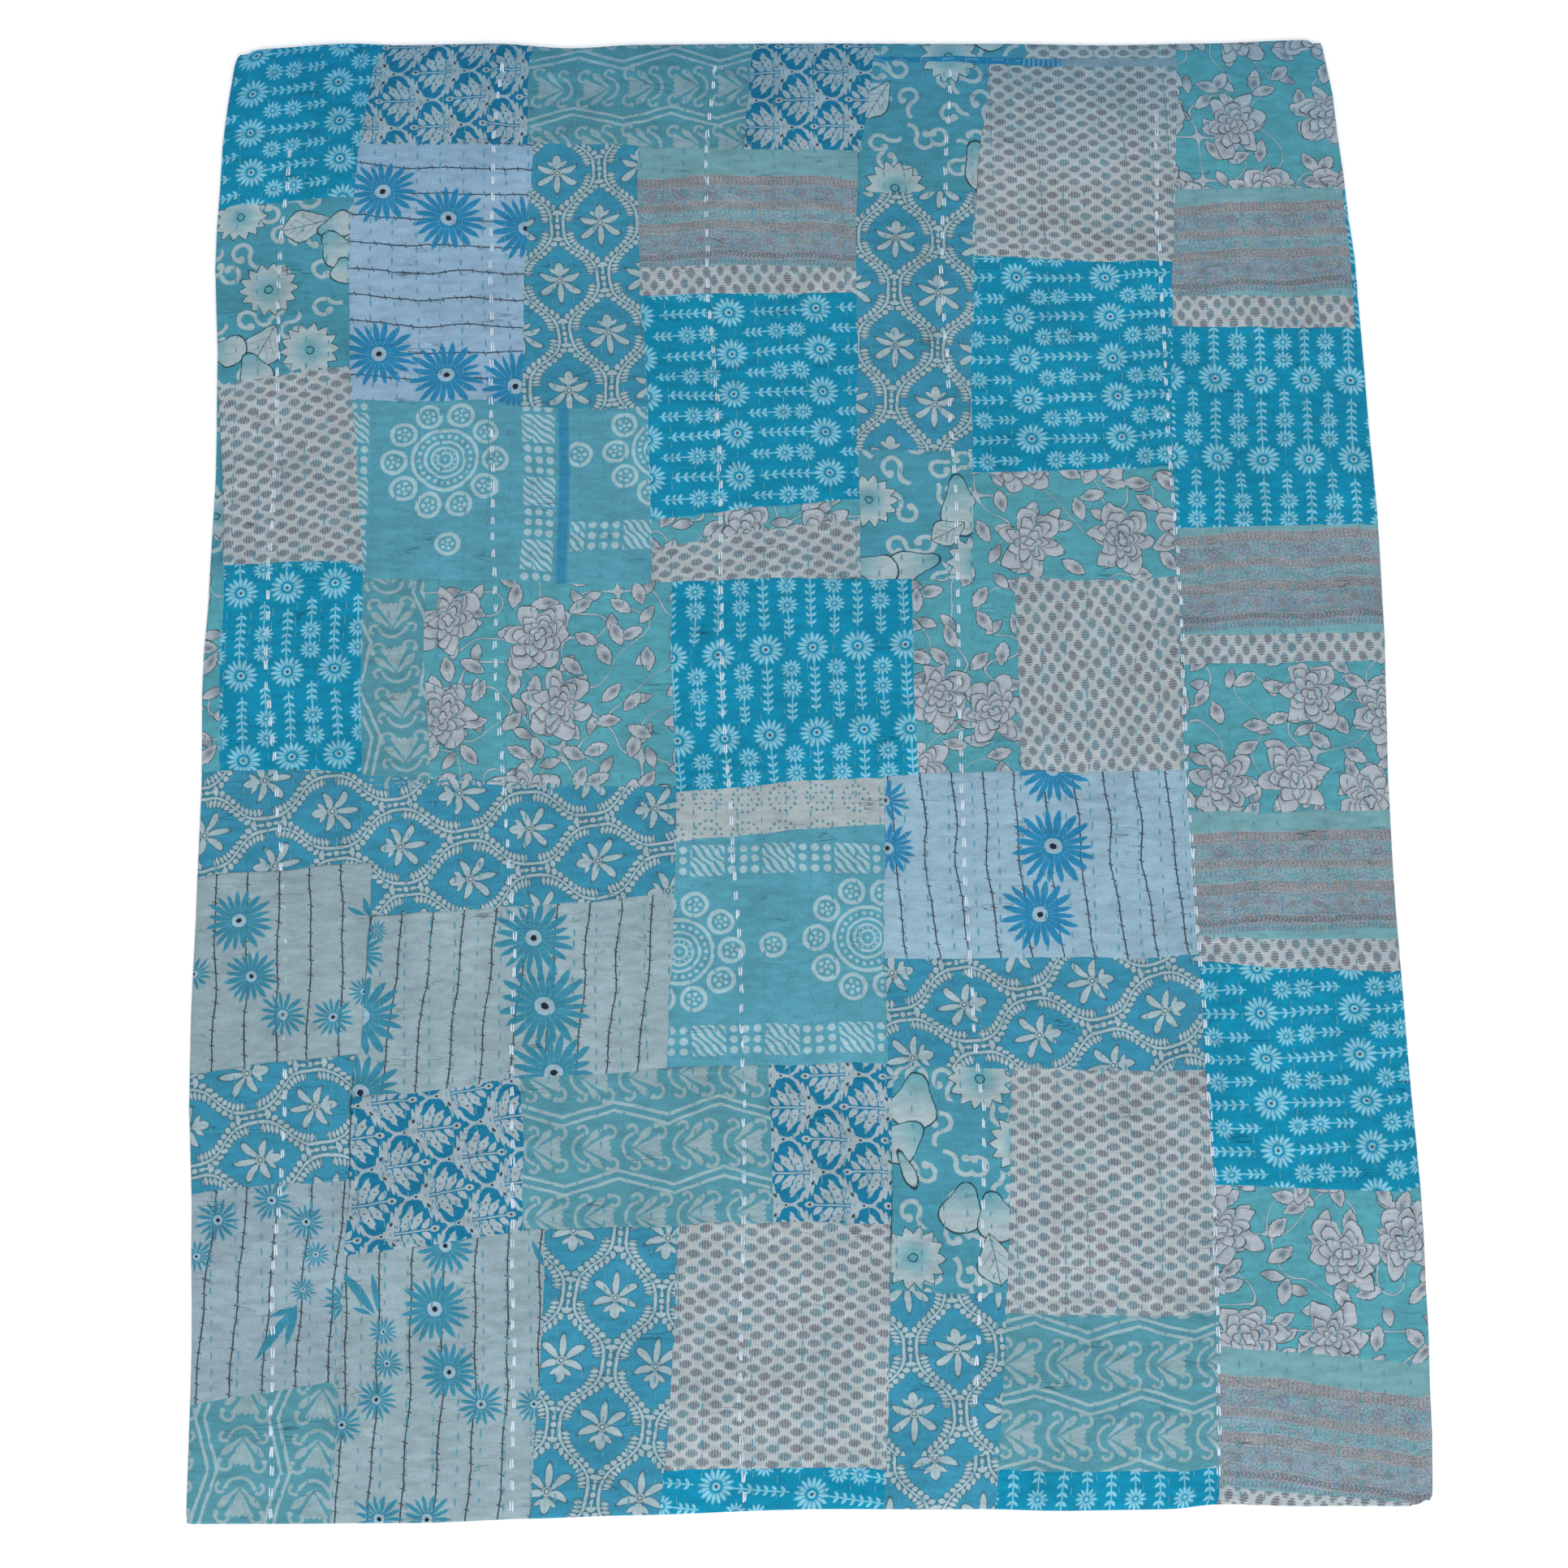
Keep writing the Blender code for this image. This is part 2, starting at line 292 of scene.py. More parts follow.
def hand_sewn(x, y):
    """Moves points a little, the same way for all patches, so that no seam is straight."""
    inset = np.minimum(HALF_WIDTH - np.abs(x), HALF_LENGTH - np.abs(y))
    free = np.clip(inset / 25, 0, 1)
    slide = free * (2.2 * soft_noise(x, y, 60, 60, 5) + 0.7 * soft_noise(x, y, 17, 17, 6))
    lift = free * (2.6 * soft_noise(x, y, 60, 60, 7) + 0.8 * soft_noise(x, y, 17, 17, 8))
    return x + slide, y + lift


def cut_patch(name, corners, turn, motif_at):
    """One patch as a mesh object, with its turned edges, its UV map and its seam values."""
    corners = grown(corners)
    wide = np.hypot(*(corners[1] - corners[0]))
    tall = np.hypot(*(corners[0] - corners[3]))
    u, v = np.meshgrid(spaced(wide, CELL_X), spaced(tall, CELL_Y), indexing="ij")
    index = np.arange(u.size).reshape(u.shape)
    loop = np.concatenate([index[:-1, 0], index[-1, :-1], index[:0:-1, -1], index[0, :0:-1]])
    front, fall = u.size, u.size + len(loop)
    u, v = u.ravel(), v.ravel()
    share_u, share_v = min(0.4, FOLD_IN / wide), min(0.4, FOLD_IN / tall)
    u_in = np.clip(u[loop], share_u, 1 - share_u)
    v_in = np.clip(v[loop], share_v, 1 - share_v)
    u, v = np.concatenate([u, u[loop], u_in]), np.concatenate([v, v[loop], v_in])
    x, y = across(corners, u, v)

    sides = [(u * wide, 0, 3), ((1 - u) * wide, 1, 2), (v * tall, 2, 3), ((1 - v) * tall, 0, 1)]
    seams = [inset for inset, a, b in sides if not at_rim(corners[a], corners[b])]
    seam = np.minimum.reduce(seams + [np.full(len(x), 50.0)])
    sewn_x, sewn_y = hand_sewn(x, y)
    z = cloth_height(sewn_x, sewn_y) - SEAM_DIP * np.exp(-((seam / 2.2) ** 2))
    from_side = (HALF_WIDTH - np.abs(x[:front])) / 20
    z[:front] += LAPPED.get(name, 0) * np.clip(from_side, 0, 1)
    outer = (np.abs(x) > HALF_WIDTH - 6) | (np.abs(y) > HALF_LENGTH - 6)
    z[front:fall] -= np.where(outer[front:fall], 1.5, 0.35)
    z[fall:] = np.where(outer[fall:], 0.5, z[fall:] - 0.7)
    laid_x, laid_y = lay_out(sewn_x, sewn_y)

    ring = np.arange(len(loop))
    after = (ring + 1) % len(loop)
    quads = [
        np.stack([index[:-1, :-1], index[1:, :-1], index[1:, 1:], index[:-1, 1:]], -1).reshape(-1, 4),
        np.stack([loop, front + ring, front + after, loop[after]], -1),
        np.stack([front + ring, fall + ring, fall + after, front + after], -1),
    ]
    mesh = bpy.data.meshes.new(name)
    verts = np.stack([laid_x, laid_y, z], -1) * MM
    mesh.from_pydata(verts.tolist(), [], np.concatenate(quads).tolist())
    mesh.shade_smooth()

    lean = math.radians(turn)
    off_x, off_y = (x - motif_at[0]) * MM, (y - motif_at[1]) * MM
    place_x = off_x * math.cos(lean) + off_y * math.sin(lean)
    place_y = off_y * math.cos(lean) - off_x * math.sin(lean)
    used = np.empty(len(mesh.loops), np.int32)
    mesh.loops.foreach_get("vertex_index", used)
    places = np.stack([place_x, place_y], -1)[used].astype(np.float32)
    mesh.uv_layers.new(name="cloth").data.foreach_set("uv", places.ravel())
    value = mesh.attributes.new("seam", "FLOAT", "POINT")
    value.data.foreach_set("value", seam.astype(np.float32))
    patch = bpy.data.objects.new(name, mesh)
    bpy.context.scene.collection.objects.link(patch)
    x, y = corners[:, 0], corners[:, 1]
    area = abs(np.dot(x, np.roll(y, 1)) - np.dot(y, np.roll(x, 1))) / 2
    spread = (x.max() - x.min(), y.max() - y.min())
    return patch, spread, area


# %% [markdown]
# ## Drawing with a node tree
# Real prints like these are pressed on with carved blocks. Each is a ground colour with one or two
# inks over it. A texture image could hold them, but here each print is drawn by its material, which
# stays sharp at any size. A Wire is one number in the tree, such as the distance to the edge of a
# petal. Arithmetic on wires adds Math nodes, so a motif can be written as a formula in mm.


# %% Wires
class Wire:
    """One number in a node tree."""

    def __init__(self, tree, socket):
        self.tree = tree
        self.socket = socket

    def step(self, operation, *others, clamp=False):
        node = self.tree.nodes.new("ShaderNodeMath")
        node.operation = operation
        node.use_clamp = clamp
        for slot, value in zip(node.inputs, (self, *others)):
            plug(self.tree, value, slot)
        return Wire(self.tree, node.outputs[0])

    def __add__(self, other):
        return self.step("ADD", other)

    def __sub__(self, other):
        return self.step("SUBTRACT", other)

    def __rsub__(self, other):
        return self.step("MULTIPLY_ADD", -1, other)

    def __mul__(self, other):
        return self.step("MULTIPLY", other)

    def __truediv__(self, other):
        return self.step("DIVIDE", other)

    def __abs__(self):
        return self.step("ABSOLUTE")

    __radd__ = __add__
    __rmul__ = __mul__


def plug(tree, value, slot):
    """Sets an input to a plain value, or links it to a wire or a socket."""
    if isinstance(value, Wire):
        tree.links.new(value.socket, slot)
    elif isinstance(value, bpy.types.NodeSocket):
        tree.links.new(value, slot)
    else:
        slot.default_value = value


def nearest(first, *others):
    """The smallest of some distances, which joins shapes."""
    for other in others:
        first = first.step("MINIMUM", other)
    return first


def inside_both(first, *others):
    """The largest of some distances, which keeps only what is in every shape."""
    for other in others:
        first = first.step("MAXIMUM", other)
    return first


def fold(w, half):
    """The distance from the nearest line of a row of lines, two halves apart."""
    return w.step("PINGPONG", half)


def wrap(w, half):
    """Repeats a place from minus half to plus half."""
    return w.step("WRAP", half, -half)


def length(x, y):
    """How far a place is from 0, 0."""
    return x.step("MULTIPLY_ADD", x, y * y).step("SQRT")


def turned(x, y, degrees):
    """A place as seen from axes that are turned anticlockwise."""
    c, s = math.cos(math.radians(degrees)), math.sin(math.radians(degrees))
    return x.step("MULTIPLY_ADD", c, y * s), y.step("MULTIPLY_ADD", c, x * -s)


def oval(x, y, at, half_length, half_width, degrees=0):
    """Distance in mm to the edge of an oval, less than 0 inside it."""
    u, v = turned(x - at[0], y - at[1], degrees) if degrees else (x - at[0], y - at[1])
    return (length(u / half_length, v / half_width) - 1) * min(half_length, half_width)


def leaf(x, y, at, half_length, half_width, degrees=0):
    """Distance to the edge of a leaf with two pointed ends."""
    u, v = turned(x - at[0], y - at[1], degrees)
    return abs(v) + (u * u).step("MULTIPLY_ADD", half_width / half_length**2, -half_width)


def petals(x, y, count, middle, half_length, half_width):
    """Distance to the edge of a wheel of petals around 0, 0."""
    angle = wrap(y.step("ARCTAN2", x), math.pi / count)
    radius = length(x, y)
    u, v = radius * angle.step("COSINE"), radius * angle.step("SINE")
    return oval(u, v, (middle, 0), half_length, half_width)


def disc(x, y, radius, at=(0, 0)):
    """Distance to the edge of a round dot."""
    return length(x - at[0], y - at[1]) - radius


def ink(distance, soft=0.45):
    """How much ink there is: 1 inside a shape, 0 outside, with a slightly soft edge."""
    return distance.step("MULTIPLY_ADD", -0.5 / soft, 0.5, clamp=True)


def line(distance, thick=0.5, soft=0.45):
    """How much ink a drawn outline has."""
    return ink(abs(distance) - thick, soft)


def shade(code):
    """A colour given as in a colour picker, in the form that sockets want."""
    parts = [int(code[i : i + 2], 16) / 255 for i in (0, 2, 4)]
    return tuple(p / 12.92 if p <= 0.04045 else ((p + 0.055) / 1.055) ** 2.4 for p in parts) + (1.0,)


# %% [markdown]
# ## Noise and scattered motifs
# Two more tools. The first is smooth noise, for faded dye and the shaky edge of a hand print. The
# second is a Voronoi texture, used for its loose grid of cells. Each cell has a middle and a random
# value, so a motif drawn around the middle is scattered over the cloth with a turn of its own.

# %% Noise and scatter
def noise(tree, place, scale, stretch=(1, 1, 1), detail=2.0):
    """Smooth noise around 0.5 at a place in metres."""
    mapping = tree.nodes.new("ShaderNodeMapping")
    mapping.inputs["Scale"].default_value = stretch
    texture = tree.nodes.new("ShaderNodeTexNoise")
    texture.inputs["Scale"].default_value = scale
    texture.inputs["Detail"].default_value = detail
    tree.links.new(place, mapping.inputs["Vector"])
    tree.links.new(mapping.outputs[0], texture.inputs["Vector"])
    return texture


def flat_place(x, y, size):
    """Two wires in mm as one vector, in units of a size."""
    node = x.tree.nodes.new("ShaderNodeCombineXYZ")
    plug(x.tree, x / size, node.inputs[0])
    plug(x.tree, y / size, node.inputs[1])
    return node.outputs[0]


def scattered(x, y, size, loose, spin=True):
    """The place from the middle of the nearest cell, and two random numbers of that cell."""
    tree = x.tree
    texture = tree.nodes.new("ShaderNodeTexVoronoi")
    texture.voronoi_dimensions = "2D"
    texture.inputs["Scale"].default_value = 1
    texture.inputs["Randomness"].default_value = loose
    tree.links.new(flat_place(x, y, size), texture.inputs["Vector"])
    middle = tree.nodes.new("ShaderNodeSeparateXYZ")
    tree.links.new(texture.outputs["Position"], middle.inputs[0])
    chance = tree.nodes.new("ShaderNodeSeparateColor")
    tree.links.new(texture.outputs["Color"], chance.inputs[0])
    u = x - Wire(tree, middle.outputs[0]) * size
    v = y - Wire(tree, middle.outputs[1]) * size
    first, second = Wire(tree, chance.outputs[0]), Wire(tree, chance.outputs[1])
    if spin:
        c, s = (first * math.tau).step("COSINE"), (first * math.tau).step("SINE")
        u, v = u.step("MULTIPLY_ADD", c, v * s), v.step("MULTIPLY_ADD", c, u * s * -1)
    return u, v, first, second


# %% [markdown]
# ## Printed cotton
# Every patch is the same thin cotton, so one function makes every material: it turns the "cloth"
# map into mm, shakes it a little, asks a print for its inks and lays them over the ground. Then it
# adds what all the cloths share: broad fading, warp and weft threads, painted shade of small
# wrinkles, painted shade along fine creases where the rows gather the cloth, and a painted shadow
# line in the seams. The wrinkles, threads and creases also go into the bump.
# Near its top edge the quilt is a little darker and cooler, a painted shade that follows Object Y there.

# %% Cotton material
def blended(tree, under, over, amount, kind="MIX"):
    """One colour mixed over another."""
    node = tree.nodes.new("ShaderNodeMix")
    node.data_type = "RGBA"
    node.blend_type = kind
    plug(tree, amount, node.inputs[0])
    plug(tree, under, node.inputs[6])
    plug(tree, over, node.inputs[7])
    return node.outputs[2]


def printed_cotton(name, draw, shaky=0.5):
    """A cotton material. draw gets x and y in mm and gives a ground and its layers of ink."""
    material = bpy.data.materials.new(name)
    material.use_nodes = True
    tree = material.node_tree
    shader = tree.nodes["Principled BSDF"]
    shader.inputs["Roughness"].default_value = 0.9
    shader.inputs["Specular IOR Level"].default_value = 0.08
    shader.inputs["Sheen Weight"].default_value = 0.02
    shader.inputs["Sheen Roughness"].default_value = 0.6
    cloth = tree.nodes.new("ShaderNodeUVMap")
    cloth.uv_map = "cloth"
    place = tree.nodes.new("ShaderNodeSeparateXYZ")
    tree.links.new(cloth.outputs[0], place.inputs[0])
    shake = tree.nodes.new("ShaderNodeSeparateColor")
    tree.links.new(noise(tree, cloth.outputs[0], 170, detail=3).outputs["Color"], shake.inputs[0])
    x = Wire(tree, place.outputs[0]) * 1000 + (Wire(tree, shake.outputs[0]) - 0.5) * 4 * shaky
    y = Wire(tree, place.outputs[1]) * 1000 + (Wire(tree, shake.outputs[1]) - 0.5) * 4 * shaky
    colour, layers = draw(x, y)
    for amount, over in layers:
        colour = blended(tree, colour, over, amount)

    where = tree.nodes.new("ShaderNodeTexCoord").outputs["Object"]
    fading = Wire(tree, noise(tree, where, 9, detail=4).outputs[0])
    warp = Wire(tree, noise(tree, cloth.outputs[0], 90, (8, 1, 1)).outputs[0])
    weft = Wire(tree, noise(tree, cloth.outputs[0], 90, (1, 8, 1)).outputs[0])
    ripple_height_and_shade = Wire(tree, noise(tree, where, 36, (1, 2.8, 1), detail=4).outputs[0])
    # Fine crease lines: grooves in the bump and painted shade in the colour.
    creases = Wire(tree, noise(tree, where, 17, (1, 6, 1), detail=1).outputs[0])
    fold_line = abs(creases - 0.5) * 75
    marked = Wire(tree, noise(tree, where, 13, (1, 2, 1)).outputs[0])
    crease_groove_and_shade = ink(fold_line - 1, 0.5) * ((marked - 0.6) * 9).step("MULTIPLY", 1, clamp=True)
    # Painted shadow along the seams, darkest right at the seam.
    seam = tree.nodes.new("ShaderNodeAttribute")
    seam.attribute_name = "seam"
    seam_shade = ink(Wire(tree, seam.outputs["Fac"]) - 0.8, 1.2)
    # Painted shade: the ripples lighten and darken the colour like the shade of small wrinkles. They also
    # go into the bump.
    light = 0.69 + (fading - 0.5) * 0.32 + (ripple_height_and_shade - 0.5) * 0.42
    light = light + (warp - 0.5) * 0.24 + (weft - 0.5) * 0.24
    # Painted shade: darker lines along the creases, and a painted shadow along the seams.
    light = light - crease_groove_and_shade * 0.3 - seam_shade * 0.2
    spot = tree.nodes.new("ShaderNodeSeparateXYZ")
    tree.links.new(where, spot.inputs[0])
    # Painted shade: the colour gets darker and cooler towards the top edge, as if less light fell there.
    top_edge_shade = ((Wire(tree, spot.outputs[1]) - 0.80) * 5).step("MULTIPLY", 1, clamp=True)
    tone = tree.nodes.new("ShaderNodeCombineColor")
    for channel, loss in zip(tone.inputs, (0.30, 0.14, 0.05)):
        plug(tree, light * (top_edge_shade * -loss + 1), channel)
    colour = blended(tree, colour, tone.outputs[0], 1.0, "MULTIPLY")
    tree.links.new(colour, shader.inputs["Base Color"])

    wrinkles = Wire(tree, noise(tree, where, 45, (1, 2.6, 1), detail=4).outputs[0])
    relief = wrinkles * 1.3 + ripple_height_and_shade * 0.9 + (warp + weft) * 0.18 - crease_groove_and_shade * 0.7
    bump = tree.nodes.new("ShaderNodeBump")
    bump.inputs["Strength"].default_value = 0.8
    bump.inputs["Distance"].default_value = 0.0015
    plug(tree, relief, bump.inputs["Height"])
    tree.links.new(bump.outputs[0], shader.inputs["Normal"])
    print("cloth", name, "nodes", len(tree.nodes))
    return material


# %% [markdown]
# ## The flower prints in rows
# The first print has rows of daisies on tall leafy stems, with a smaller kind between them. It
# repeats every 60 by 118 mm. Folding the place across the rows makes the two halves of each flower
# the same, which halves the number of nodes. The second is a trailing vine: two wavy stems bulge
# around one flower and close in under the next, and every other row starts half a repeat lower.
# Slanting leaflets grow along the stems, and a short string of beads sits in each narrow place.

# %% Daisy print and vine print
def daisy_print(x, y):
    big, up = fold(x, 30), wrap(y, 59)
    down = up * -1
    small = 30 - big
    low = (y * -1).step("WRAP", 118, 0)
    pair = abs(low - 42.5) - 13.5
    step = (low - 25).step("WRAP", 10.4, 0)
    stem_leaf = inside_both(leaf(big, step, (3.6, 5.2), 4.4, 1.8, -42), 24 - low, low - 87)
    stem = inside_both(big - 0.8, 20 - low, low - 90)
    sprig_step = (low - 75).step("WRAP", 8.2, 0)
    sprig_leaf = inside_both(leaf(small, sprig_step, (3.6, 4.1), 4.2, 1.8, -42), 74 - low, low - 98.5)
    sprig = inside_both(small - 0.8, 68 - low, low - 102)
    flower = nearest(petals(big, up, 16, 14.8, 6.6, 2.15), disc(big, up, 5.0))
    bud = nearest(petals(small, pair, 12, 8.6, 4.4, 1.6), disc(small, pair, 2.2))
    shapes = nearest(stem_leaf, stem, sprig_leaf, sprig, flower, bud)
    plum_dot = ink(disc(big, up, 2.1))
    return shade("1090B6"), [(ink(shapes) * 0.93, shade("8FD1E7")), (plum_dot, shade("5B4A5A"))]


def vine_print(x, y):
    across = fold(x, 57)
    turn = y * (math.tau / 163)
    wave = turn.step("COSINE") * 23 - (turn * 3).step("COSINE") * 2.3 + 28.6
    other = across.step("GREATER_THAN", wave)
    fx = across + other * (57 - across * 2)
    fy = wrap(y + other * 81.5, 81.5)
    side = abs(across - wave)
    stem = side * 0.8 - 1.4
    slope = (turn * 3).step("SINE") * 0.27 - turn.step("SINE") * 0.89
    step = wrap((across - wave) * slope * 0.5 + y, 2.9)
    gap = 81.5 - abs(fy)
    leaflet = leaf(side * 0.8, step, (6.4, 0), 4.6, 2.2, 12)
    stem_leaf = inside_both(leaflet, 7 - fold(y, 40.75), 15 - gap)
    top_petal = nearest(oval(fx, fy, (0, 16.5), 10, 5.8, 90), leaf(fx, fy, (8, 14), 7, 2.6, 38))
    side_petal = oval(fx, fy - (fx - 12) * (fx - 12) * 0.02, (14.5, 3.5), 11, 4.3, 12)
    low_petal = oval(fx, fy - (fx - 15) * (fx - 15) * 0.022, (15, -13), 13, 4.2, -38)
    tail_petal = oval(fx, fy, (0, -18.5), 13.5, 3.9, 90)
    flower = nearest(top_petal, side_petal, low_petal, tail_petal, disc(fx, fy, 5.5))
    second_bead = oval(fx, gap, (0, 9), 3.6, 2.2, 90)
    third_bead = oval(fx, gap, (0, 15), 2, 1.3, 90)
    beads = nearest(disc(fx, gap, 3.4), second_bead, third_bead)
    cream = nearest(stem, stem_leaf, flower, beads)
    petal_gaps = abs(nearest(side_petal, low_petal, disc(fx, fy, 5.5)) - 0.2) - 0.3
    pen = inside_both(abs(cream - 0.6) - 0.6, 0.2 - cream)
    pen = nearest(pen, inside_both(petal_gaps, length(fx, fy) - 9))
    heart = disc(fx, fy, 3.0)
    layers = [
        (ink(cream - 0.5), shade("A9C0C8")),
        (ink(pen, 0.5) * 0.8, shade("355865")),
        (ink(inside_both(abs(fx) - 0.4, 4 - fy, fy - 24), 0.6) * 0.4, shade("6F8A92")),
        (line(heart, 0.6), shade("35525E")),
    ]
    return shade("3D93B3"), layers


# %% [markdown]
# ## Small buds, dashes and dots
# The grey-white cloth is covered with little scalloped buds in a half-drop: each row is shifted by
# half a step. The buds vary from plum grey to teal, as the block picks up more or less of each ink.
# Two narrow strips are simpler still. One has dots set in arcs, and the other has bright blocks with
# pale gaps that fade out along the strip.

# %% Bud print, dotted print and dashed print
def bud_print(x, y):
    first_x, first_y = wrap(x, 14.2), wrap(y, 10)
    second_x, second_y = wrap(x - 14.2, 14.2), wrap(y - 10, 10)
    second = length(second_x, second_y).step("LESS_THAN", length(first_x, first_y))
    u = first_x + second * (second_x - first_x)
    v = first_y + second * (second_y - first_y)
    slit = 1.7 - abs(wrap(u, 1.7))
    bud = oval(u, v, (0, 0), 7.1, 5.0) - slit * 1.3 + 1.2
    slits = inside_both(bud + 0.1, slit - 0.55)
    tint = noise(x.tree, flat_place(x, y, 42), 1.0, detail=1).outputs[0]
    ink_colour = blended(x.tree, shade("68687A"), shade("547F8E"), (Wire(x.tree, tint) - 0.42) * 5)
    layers = [(ink(bud, 0.6) * 0.88, ink_colour), (ink(slits, 0.6) * 0.7, shade("B0B8BC"))]
    return shade("B7C2C6"), layers


def dotted_print(x, y):
    u, v = wrap(x, 24), wrap(y, 24)
    radius = length(u, v)
    angle = v.step("ARCTAN2", u)
    along = wrap(angle, math.pi / 14) * 17
    arc = length(along, radius - 17) - 1.9
    inner = length(wrap(angle, math.pi / 6) * 8, radius - 8) - 1.6
    return shade("B3C0C4"), [(ink(nearest(arc, inner), 0.6), shade("6394A4"))]


def dash_print(x, y):
    gap = inside_both(2.0 - abs(wrap(x, 3.4)), 34 - x)
    streak = inside_both(abs(y - 1) - 1.3, abs(wrap(x, 17)) - 8, x - 32)
    faded = ((x - 84) / 12).step("MULTIPLY", 0.85, clamp=True)
    pale = shade("86B4CC")
    return shade("2A86B4"), [(ink(gap) * 0.7, pale), (ink(streak) * 0.55, pale), (faded, shade("8FA6B4"))]


# %% [markdown]
# ## Leaves on a net and buds between waves
# The bright blue print is a net of branches. From each knot two branches swing out, thicken into a
# lobed leaf and meet their neighbours at the next knot. A feathery spray fills each mesh of the net.
# Rows are mirror images and shifted by half, so the same shapes are drawn from two sets of knots.
# The lotus print has rows of fan-shaped buds with curled tips, and double wavy lines between them.

# %% Leaf scroll print and lotus print
def net_shapes(x, y):
    """Distances to the leaves, the branches and the dots of one mirrored strip, back to front."""
    u = wrap(x - 30, 48) + 30
    climb = u.tree.nodes.new("ShaderNodeMapRange")
    climb.interpolation_type = "SMOOTHSTEP"
    for slot, value in zip(climb.inputs, (u, 8, 47, 0, 42)):
        plug(u.tree, value, slot)
    off = abs(y - Wire(u.tree, climb.outputs[0])) * 0.66
    swell = (1 - abs(u - 32) / 15).step("MULTIPLY", 1, clamp=True)
    lobes = (u * 0.5 + 0.8).step("SINE").step("ABSOLUTE")
    branch = inside_both(off - swell * (2.0 + lobes * 8.0) - 1.5, -2 - u, u - 50)
    w = wrap(x + 42, 48) - 42
    notch = (y * 0.8 + w * 0.35).step("SINE") * 0.9
    leaves = [
        leaf(w, y, (-22, 9), 12, 4.2, 106) + notch,
        leaf(w, y, (-34, 15), 18.5, 6.6, 116) + notch,
        leaf(w, y, (-45, 11.5), 14, 5.0, 127) + notch,
        leaf(w, y, (-55.5, 7), 9, 3.8, 130),
        nearest(inside_both(y - 1.0, -64 - w, w + 4), oval(w, y, (-66, 0), 5.8, 4)),
    ]
    dots = nearest(disc(w, y, 1.7, (-66, 0)), disc(u, y, 1.7, (0, 0)), oval(u, y, (34, 29), 3.0, 1.6, 60))
    small_dots = nearest(disc(w, y, 1.1, (-36, 20)), disc(w, y, 1.0, (-31, 11)), disc(w, y, 0.9, (-47, 14)))
    return leaves + [nearest(branch, disc(u, y, 3.6))], nearest(dots, small_dots)


def leaf_scroll_print(x, y):
    blue, pale = shade("1B7BA2"), shade("A8BAC3")
    row = fold(y, 42)
    first, first_dots = net_shapes(x, row)
    second, second_dots = net_shapes(x - 48, 42 - row)
    layers = []
    for one, other in zip(first, second):
        shape = nearest(one, other)
        layers += [(ink(shape - 1.5), blue), (ink(shape), pale)]
    layers.append((ink(nearest(first_dots, second_dots)), shade("33404A")))
    return blue, layers


def lotus_print(x, y):
    row = wrap(y, 45)
    v = abs(row)
    u = (x + 38).step("WRAP", 62, 0) - 38
    tips = (v * 0.42).step("COSINE").step("ABSOLUTE") * 3
    fan = inside_both(v * 0.86 - u * 0.5 - 9.4, u - tips - 10)
    slit = abs(v * 0.9 - u * 0.26 - 5) - 0.35
    club = oval(u, v, (-5.5, 18.5), 9.5, 4.1, 46)
    club_stem = oval(u, v, (-14.5, 9), 9, 2.1, 44)
    back = inside_both(abs(disc(u, v, 19, (-15, 0))) - 1.8, u + 20)
    back_hook = inside_both(abs(disc(u, v, 5.8, (-21.5, 23.4))) - 1.8, (v + u * 0.6) * -1 + 9)
    front = inside_both(abs(disc(u, v, 8, (12, 21))) - 1.8, 8 - u)
    tip = disc(u, v, 2.9, (8, 28))
    motif = nearest(inside_both(fan, slit * -1), club, club_stem, back, back_hook, front, tip)
    hill = (x * (math.tau / 131) + 0.6).step("SINE").step("ARCSINE") * 6.4
    waves = abs(abs(wrap(y - 45 - hill, 45)) - 5.4) - 1.9
    hidden = inside_both(motif, v - 34)
    layers = [
        (ink(hidden - 0.3, 0.6) * 0.92, shade("9BB4BB")),
        (ink(waves - 0.2, 0.5) * 0.95, shade("9FBBC3")),
    ]
    return shade("5899A9"), layers


# %% [markdown]
# ## Large florals
# Two of the cloths are drawn more freely: peonies with leaves, and pointed blooms with curling
# tendrils. Neither has a small repeat. The peonies, their leaves and the tendrils are scattered and
# turned at random. The blooms and their broad leaves are few, so each patch says where its own ones
# lie. A peony is a few rings of petals, each a circle whose edge is scalloped by a sine of the
# angle. Its ink outlines and grey shading come from the same distances.

# %% Peony print and pointed bloom print
def scalloped(angle, radius, size, count, depth, shift):
    """Distance to the edge of one ring of rounded petals."""
    lobe = (angle * (count / 2) + shift).step("SINE").step("ABSOLUTE")
    lobe = lobe.step("POWER", 0.65) + lobe.step("POWER", 14) * 0.12
    return radius - lobe.step("MULTIPLY_ADD", size * depth, size * (1 - depth))


